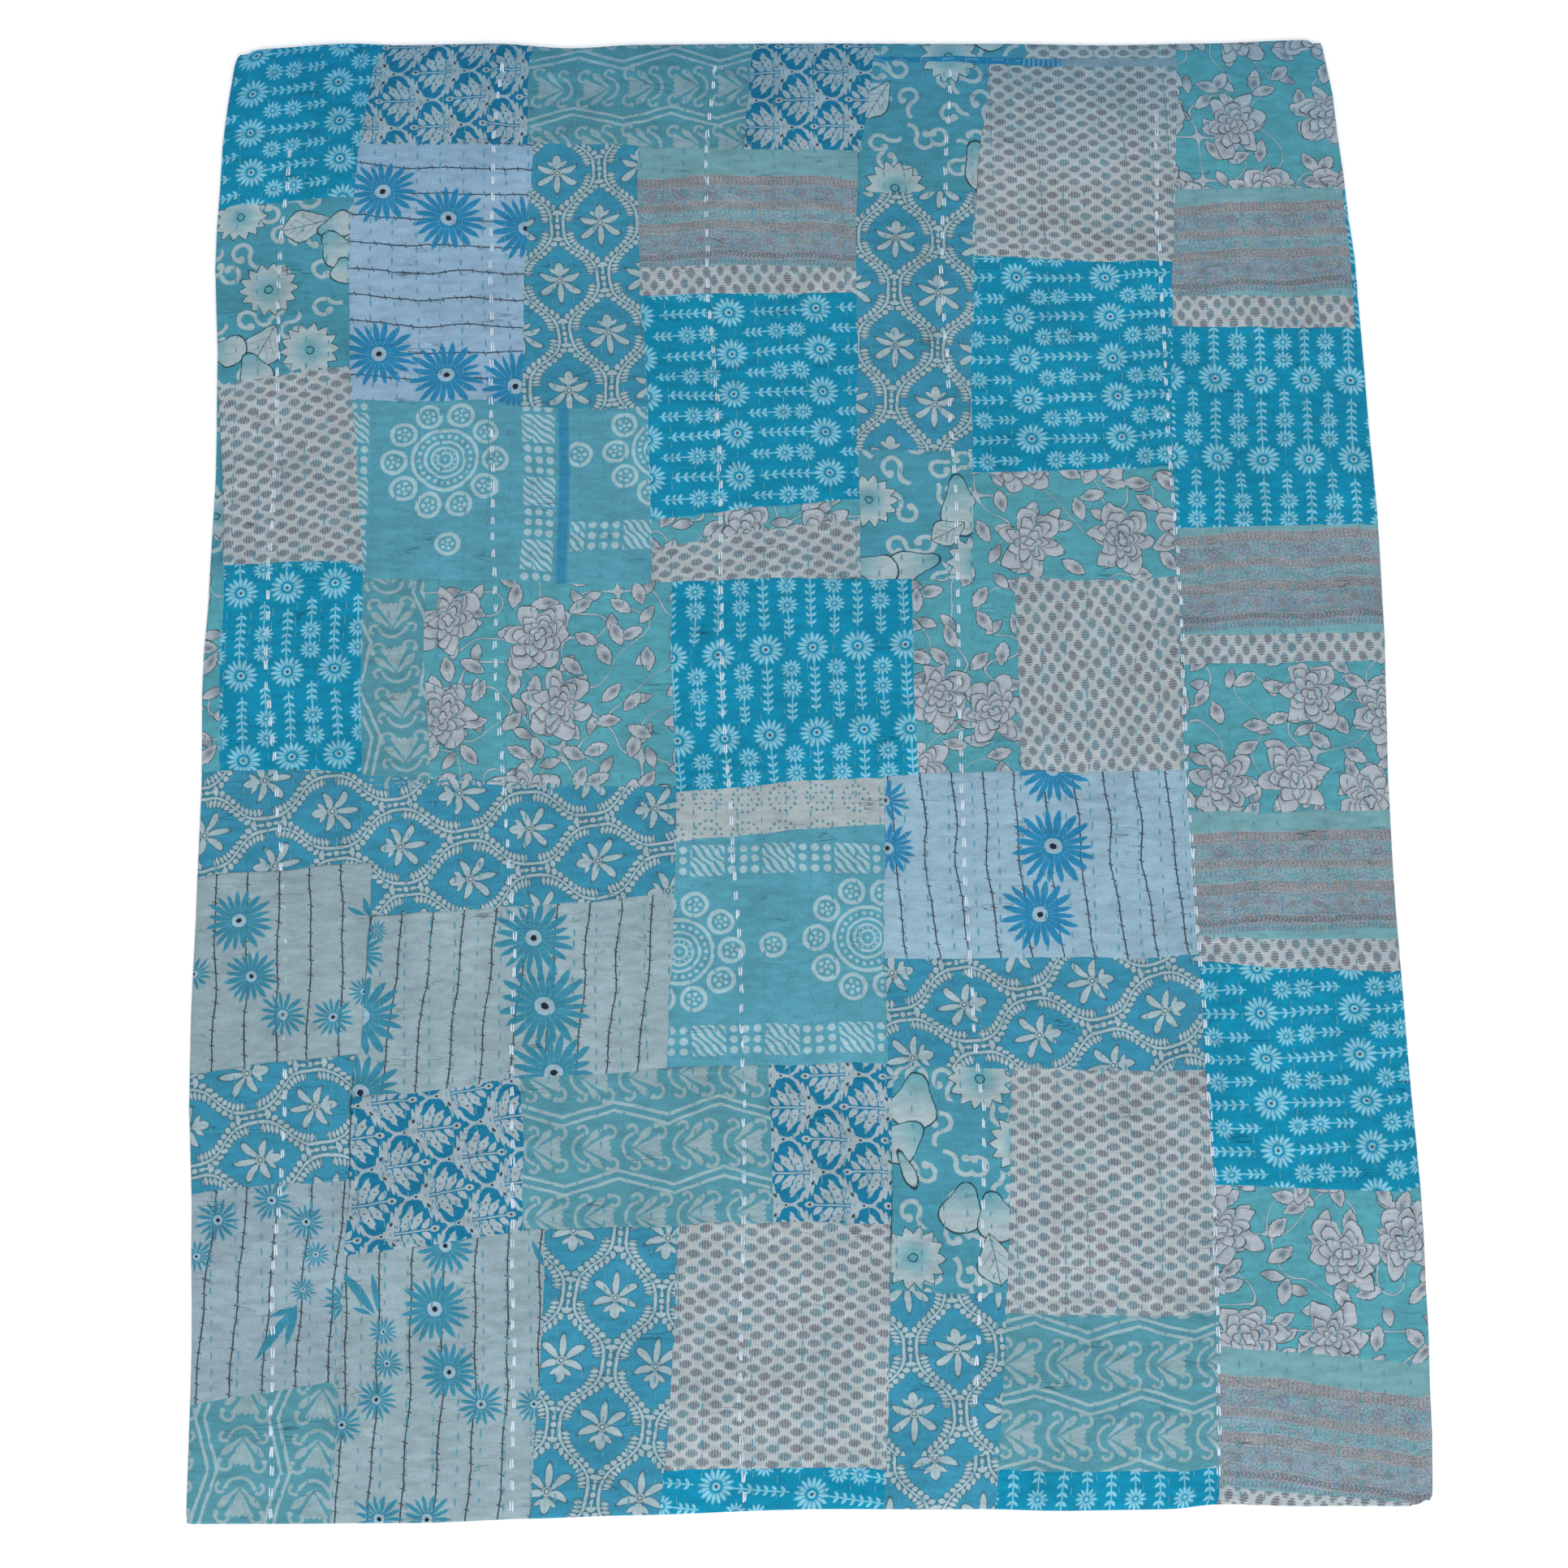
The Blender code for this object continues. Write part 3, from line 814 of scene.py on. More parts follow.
def peony_print(x, y):
    tree = x.tree
    stem_noise = Wire(tree, noise(tree, flat_place(x, y, 100), 1.5, detail=0).outputs[0])
    stem = abs(stem_noise - 0.5) * 150 - 1.1
    u, v, _, _ = scattered(x, y, 43, 0.75)
    blade = leaf(u, v, (0, 0), 18, 9.2)
    blade = blade + (u * 0.9).step("SINE") * 0.5
    u2, v2, _, keep = scattered(x + 20, y - 31, 50, 0.8)
    blade2 = leaf(u2, v2, (0, 0), 15, 7.4)
    blade2 = blade2 + keep.step("LESS_THAN", 0.25) * 50
    bend = tree.nodes.new("ShaderNodeSeparateColor")
    tree.links.new(noise(tree, flat_place(x, y, 34), 1.0, detail=1).outputs["Color"], bend.inputs[0])
    bent_x = x + (Wire(tree, bend.outputs[0]) - 0.5) * 22
    bent_y = y + (Wire(tree, bend.outputs[1]) - 0.5) * 22
    fx, fy, turn, some = scattered(bent_x, bent_y, 122, 0.5, spin=False)
    border_cells = tree.nodes.new("ShaderNodeTexVoronoi")
    border_cells.voronoi_dimensions = "2D"
    border_cells.feature = "DISTANCE_TO_EDGE"
    border_cells.inputs["Scale"].default_value = 1
    border_cells.inputs["Randomness"].default_value = 0.5
    tree.links.new(flat_place(bent_x, bent_y, 122), border_cells.inputs["Vector"])
    meeting = Wire(tree, border_cells.outputs["Distance"]) * 122
    angle = fy.step("ARCTAN2", fx) + turn * 3
    radius = length(fx, fy) * (1 + (angle * 2 + turn * 9).step("SINE") * 0.1)
    no_flower = some.step("LESS_THAN", 0.2) * 200
    rings = [
        scalloped(angle, radius, 46, 6, 0.5, 0.0),
        scalloped(angle, radius, 34, 7, 0.46, 0.9),
        scalloped(angle, radius, 25, 6, 0.42, 2.1),
        scalloped(angle, radius, 16, 5, 0.42, 0.4),
        scalloped(angle, radius, 7, 4, 0.4, 1.3),
    ]
    rings = [ring + no_flower for ring in rings]
    petal = shade("B6C0CA")
    dark = shade("2A3C46")
    smudge = shade("75838F")
    layers = [
        (ink(stem) * 0.9, petal),
        (ink(abs(stem - 0.4) - 0.35, 0.5) * 0.55, dark),
        (ink(blade2), petal),
        (ink(blade2) * (1 - abs(u2 + 8) / 12).step("MULTIPLY", 0.8, clamp=True), smudge),
        (line(blade2, 0.55, 0.5), dark),
        (ink(blade), petal),
        (ink(blade + 1) * (1 - length(u + 5, v * 1.4) / 10).step("MULTIPLY", 1.1, clamp=True), smudge),
        (line(v, 0.2, 0.5) * ink(blade + 2) * 0.5, dark),
        (line(blade, 0.55, 0.5), dark),
    ]
    for outer, inner in zip(rings, rings[1:] + [None]):
        layers.append((ink(outer), petal))
        if inner is not None:
            fade = (1 - inner / 7).step("MULTIPLY", 0.5, clamp=True)
            layers.append((fade * ink(outer), smudge))
            rays = ink(abs((angle * 13 + radius * 0.15).step("SINE")) - 0.2, 0.3) * fade
            layers.append((rays * ink(outer), dark))
        layers.append((line(outer, 0.6, 0.5), dark))
    layers.append((line(meeting, 0.6, 0.5) * ink(rings[0]), dark))
    return shade("5AA7B6"), layers


def curls(x, y):
    """Distance to loose hooks that end in a round bulb, each turned its own way."""
    u, v, _, _ = scattered(x - 9, y, 50, 0.75)
    angle = v.step("ARCTAN2", u)
    hook = inside_both(abs(length(u, v) - 11.5) - 2.9, (angle - 1.7) * 11)
    bulb = disc(u, v, 5.2, (-1.0, 9.8))
    tail = inside_both(abs(length(u + 27, v) - 15.5) - 2.9, v * -1, u * -1 - 30)
    return nearest(hook, bulb, tail)


def bloom_print(blooms, leaves):
    """A print with pointed blooms and broad leaves at given places, and curls between."""

    def draw(x, y):
        cream, dark, teal = shade("AFC3C9"), shade("24424F"), shade("5CA6B4")
        layers = [(ink(curls(x, y)) * 0.95, cream)]
        for at_x, at_y, long, wide, turn, veined in leaves:
            a, b = turned(x - at_x, y - at_y, turn)
            waist = 1 - (a * (2.6 / long)).step("SINE") * 0.28
            outline = leaf if veined else oval
            shape = outline(a, b / waist, (0, 0), long, wide)
            layers.append((ink(shape), cream))
            if veined:
                ribs = wrap(a + abs(b) * 1.1, long / 5)
                layers.append((line(ribs, 0.35) * ink(shape + wide * 0.3), dark))
                layers.append((line(b, 0.45) * ink(shape), dark))
            else:
                fade = (a / long + 0.4).step("MULTIPLY", 0.65, clamp=True)
                layers.append((ink(shape) * fade, teal))
            layers.append((line(shape, 0.8, 0.5), dark))
        for at_x, at_y, size in blooms:
            a, b = x - at_x, y - at_y
            radius = length(a, b)
            point = fold(b.step("ARCTAN2", a), math.pi / 14) * (14 / math.pi)
            edge = radius + point.step("MULTIPLY_ADD", size * 0.25, -size)
            layers += [
                (ink(edge), cream),
                ((1 - radius / (size * 0.68)).step("MULTIPLY", 1.1, clamp=True), teal),
                (line(radius - size * 0.13, 0.8), dark),
                (line(edge, 0.8, 0.5), dark),
            ]
        return shade("4E9AB0"), layers

    return draw


# %% [markdown]
# ## Starbursts and wheels
# The palest cloths have blue starbursts of many sizes and thin barbed lines. The wheel cloths have a
# large dotted wheel with small rings around it, and borders of dots and slanting strokes. These
# motifs are few and large, so each patch says where its own ones lie, in mm on the cut quilt.

# %% Starburst print and wheel print
def starburst(x, y, count):
    """Distance to long blunt petals of uneven length, for a burst that reaches 1."""
    turn = y.step("ARCTAN2", x)
    angle = wrap(turn + (turn * 3).step("SINE") * 0.05, math.pi / count)
    uneven = (turn * 7).step("SINE") * 0.06 + (turn * 4 + 1).step("SINE") * 0.05
    radius = length(x, y) * (1 + uneven)
    petal = oval(radius * angle.step("COSINE"), radius * angle.step("SINE"), (0.62, 0), 0.38, 0.084)
    return nearest(petal, radius - 0.31)


def star_print(stars, upright, first, lean, ground, blue, blades=()):
    """A pale cloth with starbursts at given places, and barbed lines 39.5 mm apart."""

    def draw(x, y):
        along, side = (y, x) if upright else (x, y)
        sway = (along * 0.06).step("SINE") * 1.1 + (along * 0.023).step("SINE") * 1.6
        barbed = abs(wrap(side - first + along * lean + sway, 19.75))
        barb = inside_both(abs(wrap(along + side * 0.37, 9.5)) - 0.7, barbed - 3.4)
        rib = (side * 2.6).step("SINE")
        layers = [
            (rib.step("MULTIPLY_ADD", 0.5, 0.5) * 0.12, shade("7F97A6")),
            (ink(nearest(barbed - 0.95, barb), 0.5) * 0.92, shade("222E3A")),
        ]
        for at_x, at_y, long, wide, turn in blades:
            layers.append((ink(leaf(x, y, (at_x, at_y), long, wide, turn), 0.6) * 0.97, blue))
        for at_x, at_y, size in stars:
            a, b = (x - at_x) / size, (y - at_y) / size
            burst = starburst(a, b, 19 if size > 30 else 15) * size
            radius = length(a, b) * size
            layers += [
                (ink(burst) * 0.97, blue),
                (ink(radius - size * 0.22) * 0.85, shade("A9C3D2")),
                (ink(radius - size * 0.085), shade("1E2C3A")),
            ]
        return ground, layers

    return draw


def wheel(x, y):
    """Distance to a wheel of dotted rings with ten small rings around it."""
    radius, angle = length(x, y), y.step("ARCTAN2", x)
    rings = nearest(
        radius - 2,
        abs(radius - 9.5) - 1.6,
        abs(radius - 17.5) - 1.7,
        abs(radius - 26) - 1.9,
        abs(radius - 42.5) - 2.4,
        length(wrap(angle, math.pi / 22) * 34, radius - 34) - 2.6,
        length(wrap(angle, math.pi / 12) * 13.5, radius - 13.5) - 1.3,
    )
    turn = wrap(angle, math.pi / 10)
    small_x, small_y = radius * turn.step("COSINE") - 66, radius * turn.step("SINE")
    return nearest(rings, small_ring(small_x, small_y))


def small_ring(x, y):
    """Distance to a small ring with five dots in it."""
    radius, angle = length(x, y), y.step("ARCTAN2", x)
    dots = length(wrap(angle, math.pi / 5) * 6.8, radius - 6.8) - 2.7
    return nearest(abs(radius - 15) - 2.7, dots, radius - 2.2)


def border(along, side):
    """Distance to a border 42 mm wide: three rows of dots, then three slanting strokes."""
    place = along.step("WRAP", 92, 0)
    dots = length(wrap(place - 7.5, 7.5), wrap(side - 14, 7)) - 5.0
    dots = inside_both(dots, place - 45)
    slant = place + side * 0.9 + (side * 0.3).step("SINE") * 1.5
    strokes = inside_both(abs(wrap(slant, 5.6)) - 3.2, 47 - place, place - 90)
    return inside_both(nearest(dots, strokes), abs(side) - 20.5)


def wheel_print(wheels, rings, borders, band=None):
    """A cloth with wheels, loose small rings and borders at given places."""

    def draw(x, y):
        shapes = nearest(*[wheel(x - at_x, y - at_y) for at_x, at_y in wheels])
        shapes = nearest(shapes, *[small_ring(x - at_x, y - at_y) for at_x, at_y in rings])
        for upright, at, start, end in borders:
            along, side = (y, x - at) if upright else (x, y - at)
            strip = inside_both(border(along, side), start - along, along - end)
            strip_box = inside_both(abs(side) - 24, start - along, along - end)
            shapes = nearest(inside_both(shapes, strip_box * -1), strip)
        layers = [(ink(shapes, 0.6) * 0.9, shade("AECDD6"))]
        if band:
            layers.append((ink(abs(x - band) - 7, 2.0) * 0.85, shade("2F8AB4")))
        return shade("5CA4B9"), layers

    return draw


# %% [markdown]
# ## The woven-look bands
# One cloth is printed in narrow bands like a woven border: dusty mauve stripes with a speckled
# braid, grey-blue strips with faint round ornaments, and a turquoise fringe. A colour ramp with
# hard steps gives each band its colour by its distance from the first stripe. Soft clouds and a fine
# grain, both from noise, break the colours up.

# %% Band print
BANDS = [  # distance down from the first stripe in mm, colour
    (-200, "7CADB5"), (0, "95969B"), (15, "88A1AE"), (40, "95979C"), (52, "7FA8B3"),
    (70, "95979B"), (85, "8A9FAD"), (115, "8C8F96"), (127, "82A2AD"), (136, "7CB0B9"),
]


def band_print(x, y):
    tree = x.tree
    down = (x * 0.045).step("SINE") * -1.8 - y + (x * 0.013 + 1).step("SINE") * 3.2
    ramp = tree.nodes.new("ShaderNodeValToRGB")
    ramp.color_ramp.interpolation = "CONSTANT"
    stops = ramp.color_ramp.elements
    while len(stops) < len(BANDS):
        stops.new(0.5)
    for stop, (at, code) in zip(stops, BANDS):
        stop.position = max(0, (at + 40) / 200)
        stop.color = shade(code)
    tree.links.new(((down + 40) / 200).socket, ramp.inputs[0])
    clouds = tree.nodes.new("ShaderNodeSeparateColor")
    drift = noise(tree, flat_place(x, y, 11), 1.0, (0.7, 1.2, 1), detail=2)
    tree.links.new(drift.outputs["Color"], clouds.inputs[0])
    one, other = Wire(tree, clouds.outputs[0]), Wire(tree, clouds.outputs[1])
    grain = Wire(tree, noise(tree, flat_place(x, y, 2.6), 1.0, detail=1).outputs[0])
    printed = ink(inside_both(down * -1, down - 136), 1.0)
    stripes = nearest(abs(down - 7.5) - 7.5, abs(down - 46) - 6, abs(down - 77.5) - 7.5)
    open_cloth = printed - ink(stripes) * 0.6
    beads = nearest(*[length(wrap(x + at, 2.8), down - at) - 1.2 for at in (5, 10, 46, 77.5)])
    knots = nearest(*[length(wrap(x + at + 2.8, 2.8), down - at) - 1.2 for at in (5, 10, 46, 77.5)])
    braid_side = abs(down - 121)
    braid = inside_both(abs(wrap(x + braid_side * 0.9, 2.7)) - 0.9, braid_side - 3.8)
    curl = length(wrap(x, 20), (down - 27.5) * 1.1)
    rounds = nearest(abs(curl - 7) - 1.3, curl - 3)
    spots = length(wrap(x - 8, 15.5), down - 100) - 5
    teal_ticks = inside_both(abs(wrap(x, 3)) - 1, 54 - down, down - 59)
    fringe = inside_both(abs(wrap(x, 2.6)) - 0.9, 128 - down, down - 136)
    pale_lines = nearest(*[abs(down - at) - 0.5 for at in (0.8, 15, 40, 52, 70, 85, 115.5, 126.6)])
    dark_lines = nearest(*[abs(down - at) - 0.4 for at in (2.4, 13.4, 53.4, 71.6, 83.4, 114)])
    layers = [
        (((one - 0.52) * 7).step("MINIMUM", 0.5) * open_cloth, shade("8C9BB8")),
        (((0.47 - one) * 7).step("MINIMUM", 0.45) * open_cloth, shade("62AAB0")),
        (((other - 0.56) * 8).step("MINIMUM", 0.4) * open_cloth, shade("969284")),
        ((grain - 0.5) * 3.2 * printed, shade("56707F")),
        ((0.48 - grain) * 2.6 * printed, shade("B8BCBE")),
        (ink(beads, 0.6) * 0.4, shade("BEB2AE")),
        (ink(knots, 0.6) * 0.35, shade("5F6072")),
        (ink(rounds, 0.8) * 0.55, shade("80768A")),
        (ink(spots, 1.2) * 0.5, shade("857F84")),
        (ink(teal_ticks) * 0.4, shade("9CC2CA")),
        (ink(fringe) * 0.5, shade("4F8298")),
        (ink(braid, 0.5) * 0.6, shade("515062")),
        (ink(pale_lines, 0.5) * 0.45, shade("B2B4C2")),
        (ink(dark_lines, 0.5) * 0.35, shade("616B7C")),
    ]
    for index, (amount, over) in enumerate(layers):
        layers[index] = (amount.step("MULTIPLY", 1, clamp=True), over)
    return ramp.outputs[0], layers


# %% [markdown]
# ## Sewing the top
# Each patch is cut and given its print. It lies on the padded body below. Prints with motifs at set
# places get a material of their own for each patch. A burst or a bloom is given as its middle and
# its reach. A leaf is its middle, half its length, half its width and its turn.

# %% Prints of the patches
BRIGHT, TEAL = shade("2388B8"), shade("378CA8")
SMALL_STARS = [(-729, -638, 27), (-660, -617, 25), (-619, -641, 22), (-608, -682, 17), (-625, -726, 16)]
PLACED = {
    "star_1": star_print(
        [(-542, 787, 47), (-452, 746, 48), (-349, 734, 48), (-546, 546, 47), (-460, 514, 48),
         (-366, 498, 48)],
        False, 806, 0.04, shade("9CBED9"), BRIGHT,
    ),
    "star_2": star_print(
        [(-704, -248, 41), (-686, -324, 34), (-644, -376, 29), (-583, -378, 25), (-759, -315, 22),
         (-546, -344, 20)],
        True, -656, 0.005, shade("9DB4BC"), TEAL,
        [(-559, -237, 14, 3, 153), (-547, -232, 14, 4, 108), (-538, -228, 14, 4, 80)],
    ),
    "star_3": star_print(
        [(-335, -277, 51), (-320, -366, 55), (-310, -456, 52), (-551, -377, 54), (-547, -477, 50),
         (-534, -262, 14), (-555, -293, 31)],
        True, -481, -0.083, shade("A1B8C0"), TEAL,
    ),
    "star_4": star_print(
        [(325, -160, 52), (305, -253, 48), (327, -54, 46), (113, -97, 30), (113, -163, 36)],
        True, 230, 0.079, shade("9FC0D4"), BRIGHT,
    ),
    "star_5": star_print(
        SMALL_STARS + [(-754, -683, 20), (-573, -743, 26)], True, -639, -0.089, shade("9DB4C0"), TEAL,
        [(-658, -780, 45, 6, 54), (-640, -773, 27, 5, 75), (-652, -755, 16, 4, 21)],
    ),
    "star_6": star_print(
        [(-463, -753, 41), (-447, -830, 34), (-407, -874, 28), (-341, -875, 23), (-527, -781, 18),
         (-521, -821, 19), (-533, -865, 24), (-576, -894, 25), (-449, -675, 35), (-527, -1011, 30),
         (-469, -1012, 30)],
        True, -470, -0.029, shade("9DB4BD"), TEAL,
        [(-557, -732, 34, 6, 126), (-537, -732, 25, 4, 99), (-553, -755, 13, 3, 157),
         (-335, -688, 18, 4, 110)],
    ),
    "ring_1": wheel_print(
        [(-461, 388), (-172, 402)], [(-455, 268), (-286, 400), (-455, 195)],
        [(True, -338, 205, 480), (False, 281, -296, -150), (True, -580, 205, 480)], -306,
    ),
    "ring_2": wheel_print(
        [(-152, -299), (88, -285)], [(-33, -294)], [(False, -178, -170, 115), (False, -418, -170, 115)],
    ),
    "top_5": bloom_print(
        [(150, 790, 42), (232, 992, 42)],
        [(268, 822, 42, 22, 100, False), (130, 925, 34, 17, 60, True)],
    ),
    "top_poppy": bloom_print([(232, 992, 42)], [(300, 1020, 30, 14, 10, False)]),
    "left_poppy": bloom_print(
        [(-729, 757, 37), (-690, 645, 40), (-639, 552, 41)],
        [(-640, 738, 34, 22, 10, True), (-600, 735, 26, 16, 200, False), (-598, 700, 30, 22, 120, False),
         (-590, 668, 20, 16, 90, False), (-700, 562, 36, 24, 60, True), (-748, 560, 26, 20, 160, False),
         (-712, 524, 30, 20, 110, False)],
    ),
    "left_poppy_edge": bloom_print([(-757, 320, 34)], []),
    "middle_poppy": bloom_print(
        [(93, 325, 40), (232, 236, 40)],
        [(212, 318, 44, 24, 95, False), (196, 280, 26, 18, 30, True), (150, 232, 36, 19, 15, False),
         (100, 226, 32, 20, 160, False)],
    ),
    "poppy_2": bloom_print(
        [(126, -703, 42), (221, -470, 42), (266, -556, 40)],
        [(136, -500, 38, 27, 80, False), (118, -552, 34, 24, 40, False), (122, -590, 26, 8, 110, False),
         (190, -640, 34, 24, 75, False), (232, -650, 32, 24, 105, False), (228, -705, 34, 22, 100, True)],
    ),
}
SHARED = {
    "daisy": daisy_print, "vine": vine_print, "buti": bud_print, "dotted": dotted_print,
    "dashes": dash_print, "leaf_scroll": leaf_scroll_print, "lotus": lotus_print,
    "rose": peony_print, "bands": band_print,
}
cloths = {kind: printed_cotton("cotton_" + kind, draw) for kind, draw in SHARED.items()}

# %% Patches
patches = []
for name, kind, corners, turn, motif_at in PATCHES:
    if name in PLACED:
        cloth = printed_cotton("cotton_" + name, PLACED[name], 0.7)
    else:
        cloth = cloths[kind]
    patch, spread, area = cut_patch(name, corners, turn, motif_at)
    patch.data.materials.append(cloth)
    patches.append(patch)
    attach(patch, "root")
    flat = [(edge + 2 * FOLD_IN) * MM for edge in spread]
    turned_in = 2 * FOLD_IN * (spread[0] + spread[1])
    (area + turned_in) * MM * MM
print("faces in the patches", sum(len(patch.data.polygons) for patch in patches))

# %% [markdown]
# ## The filling and the back
# Under the patches is one soft slab: the thin filling with the cotton back around it. It replaces
# the CAD solid. Its top stays just below the patches, and its flat underside lies on the floor. The
# back is a plain cotton, with the same rows of stitches showing through as short dashes.

# %% Body
def build_body():
    """A closed slab that follows the front from below."""
    inset = 1.4
    xs = np.linspace(inset - HALF_WIDTH, HALF_WIDTH - inset, 102)
    ys = np.linspace(inset - HALF_LENGTH, HALF_LENGTH - inset, 102)
    xs = np.sort(np.concatenate([xs, [xs[0] + 4, xs[-1] - 4]]))
    ys = np.sort(np.concatenate([ys, [ys[0] + 4, ys[-1] - 4]]))
    x, y = np.meshgrid(xs, ys, indexing="ij")
    edge = np.minimum(HALF_WIDTH - np.abs(x), HALF_LENGTH - np.abs(y))
    roll = np.sqrt(1 - (1 - np.clip(edge / RIM_ROLL, 0, 1)) ** 2)
    top = 1.0 + (between(x, y) - 3.7) * roll
    laid_x, laid_y = lay_out(x, y)
    low = np.stack([laid_x, laid_y, np.zeros(x.shape)], -1).reshape(-1, 3)
    high = np.stack([laid_x, laid_y, top], -1).reshape(-1, 3)
    index = np.arange(x.size).reshape(x.shape)
    quads = np.stack([index[:-1, :-1], index[1:, :-1], index[1:, 1:], index[:-1, 1:]], -1).reshape(-1, 4)
    loop = np.concatenate([index[:-1, 0], index[-1, :-1], index[:0:-1, -1], index[0, :0:-1]])
    after = np.roll(loop, -1)
    walls = np.stack([loop, after, after + x.size, loop + x.size], -1)
    faces = np.concatenate([quads[:, ::-1], quads + x.size, walls])
    mesh = bpy.data.meshes.new("quilt_body")
    mesh.from_pydata((np.concatenate([low, high]) * MM).tolist(), [], faces.tolist())
    mesh.shade_smooth()
    body = bpy.data.objects.new("quilt_body", mesh)
    bpy.context.scene.collection.objects.link(body)
    return body


def backing_print(x, y):
    row = abs(wrap(x - 10, 15)) - 0.6
    stitch = inside_both(row, abs(wrap(y + 3, 10)) - 4)
    return shade("7FAEBC"), [(ink(stitch) * 0.7, shade("3E8196"))]


def backing_cotton():
    """The plain cotton of the back. It reads Object coordinates, as the body has no cloth map."""
    material = printed_cotton("cotton_back", backing_print, 0.3)
    tree = material.node_tree
    where = tree.nodes.new("ShaderNodeTexCoord").outputs["Object"]
    cloth = next(node for node in tree.nodes if node.bl_idname == "ShaderNodeUVMap")
    for link in list(cloth.outputs[0].links):
        tree.links.new(where, link.to_socket)
    tree.nodes.remove(cloth)
    return material


body = build_body()
body.data.materials.append(backing_cotton())
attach(body, "root")
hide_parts("quilt")

# %% [markdown]
# ## Running stitches by hand
# Each row has about a hundred stitches. They are all the same short arch of thread, so a Geometry
# Nodes tree sets one arch on every point of a mesh that only marks the places. Every point carries
# a "lay" value, which turns its stitch along the row and tips it with the cloth. The tree's named
# inputs give the size of the stitch and how uneven the hand is. Real stitches sink a little at
# their ends, so the arch's feet are below the cloth.

# %% Stitch tree
FOOT_DEPTH = 0.0008  # metres


def stitch_tree(thread):
    """A tree that sews one arch of thread at every point."""
    tree = bpy.data.node_groups.new("sewn_stitches", "GeometryNodeTree")
    face = tree.interface
    face.new_socket("Geometry", in_out="INPUT", socket_type="NodeSocketGeometry")
    for name in ("Stitch length", "Thread thickness", "Arch height", "Unevenness"):
        face.new_socket(name, in_out="INPUT", socket_type="NodeSocketFloat")
    face.new_socket("Geometry", in_out="OUTPUT", socket_type="NodeSocketGeometry")
    add = tree.nodes.new
    link = tree.links.new
    given, made = add("NodeGroupInput"), add("NodeGroupOutput")
    stitch = Wire(tree, given.outputs["Stitch length"])
    foot, middle, other_foot = [add("ShaderNodeCombineXYZ") for _ in range(3)]
    for spot, share in ((foot, -0.5), (other_foot, 0.5)):
        plug(tree, stitch * share, spot.inputs["Y"])
        spot.inputs["Z"].default_value = -FOOT_DEPTH
    link(given.outputs["Arch height"], middle.inputs["Z"])
    arch = add("GeometryNodeCurveQuadraticBezier")
    arch.inputs["Resolution"].default_value = 4
    for spot, name in ((foot, "Start"), (middle, "Middle"), (other_foot, "End")):
        link(spot.outputs[0], arch.inputs[name])
    round_thread = add("GeometryNodeCurvePrimitiveCircle")
    round_thread.inputs["Resolution"].default_value = 4
    plug(tree, Wire(tree, given.outputs["Thread thickness"]) * 0.5, round_thread.inputs["Radius"])
    tube = add("GeometryNodeCurveToMesh")
    link(arch.outputs["Curve"], tube.inputs["Curve"])
    link(round_thread.outputs["Curve"], tube.inputs["Profile Curve"])
    lay = add("GeometryNodeInputNamedAttribute")
    lay.data_type = "FLOAT_VECTOR"
    lay.inputs["Name"].default_value = "lay"
    sewn = add("GeometryNodeInstanceOnPoints")
    link(given.outputs["Geometry"], sewn.inputs["Points"])
    link(tube.outputs[0], sewn.inputs["Instance"])
    link(lay.outputs["Attribute"], sewn.inputs["Rotation"])
    uneven = add("FunctionNodeRandomValue")
    uneven.data_type = "FLOAT"
    uneven.inputs["Seed"].default_value = 11
    spread = Wire(tree, given.outputs["Unevenness"])
    plug(tree, 1 - spread, uneven.inputs[2])
    plug(tree, spread + 1, uneven.inputs[3])
    link(uneven.outputs[1], sewn.inputs["Scale"])
    real = add("GeometryNodeRealizeInstances")
    finish = add("GeometryNodeSetMaterial")
    finish.inputs["Material"].default_value = thread
    link(sewn.outputs[0], real.inputs[0])
    link(real.outputs[0], finish.inputs["Geometry"])
    link(finish.outputs[0], made.inputs[0])
    return tree


def thread_finish(name, code, rough):
    """Twisted cotton thread: fine slanting strands, and a colour that fades here and there."""
    material = bpy.data.materials.new(name)
    material.use_nodes = True
    tree = material.node_tree
    shader = tree.nodes["Principled BSDF"]
    shader.inputs["Roughness"].default_value = rough
    where = tree.nodes.new("ShaderNodeTexCoord").outputs["Object"]
    worn = Wire(tree, noise(tree, where, 26, detail=3).outputs[0])
    strand = Wire(tree, noise(tree, where, 700, (1, 0.4, 1)).outputs[0])
    light = 0.62 + worn * 0.5 + strand * 0.28
    tone = tree.nodes.new("ShaderNodeCombineColor")
    for channel in tone.inputs:
        plug(tree, light, channel)
    colour = blended(tree, shade(code), tone.outputs[0], 1.0, "MULTIPLY")
    tree.links.new(colour, shader.inputs["Base Color"])
    bump = tree.nodes.new("ShaderNodeBump")
    bump.inputs["Distance"].default_value = 0.0003
    plug(tree, strand, bump.inputs["Height"])
    tree.links.new(bump.outputs[0], shader.inputs["Normal"])
    return material


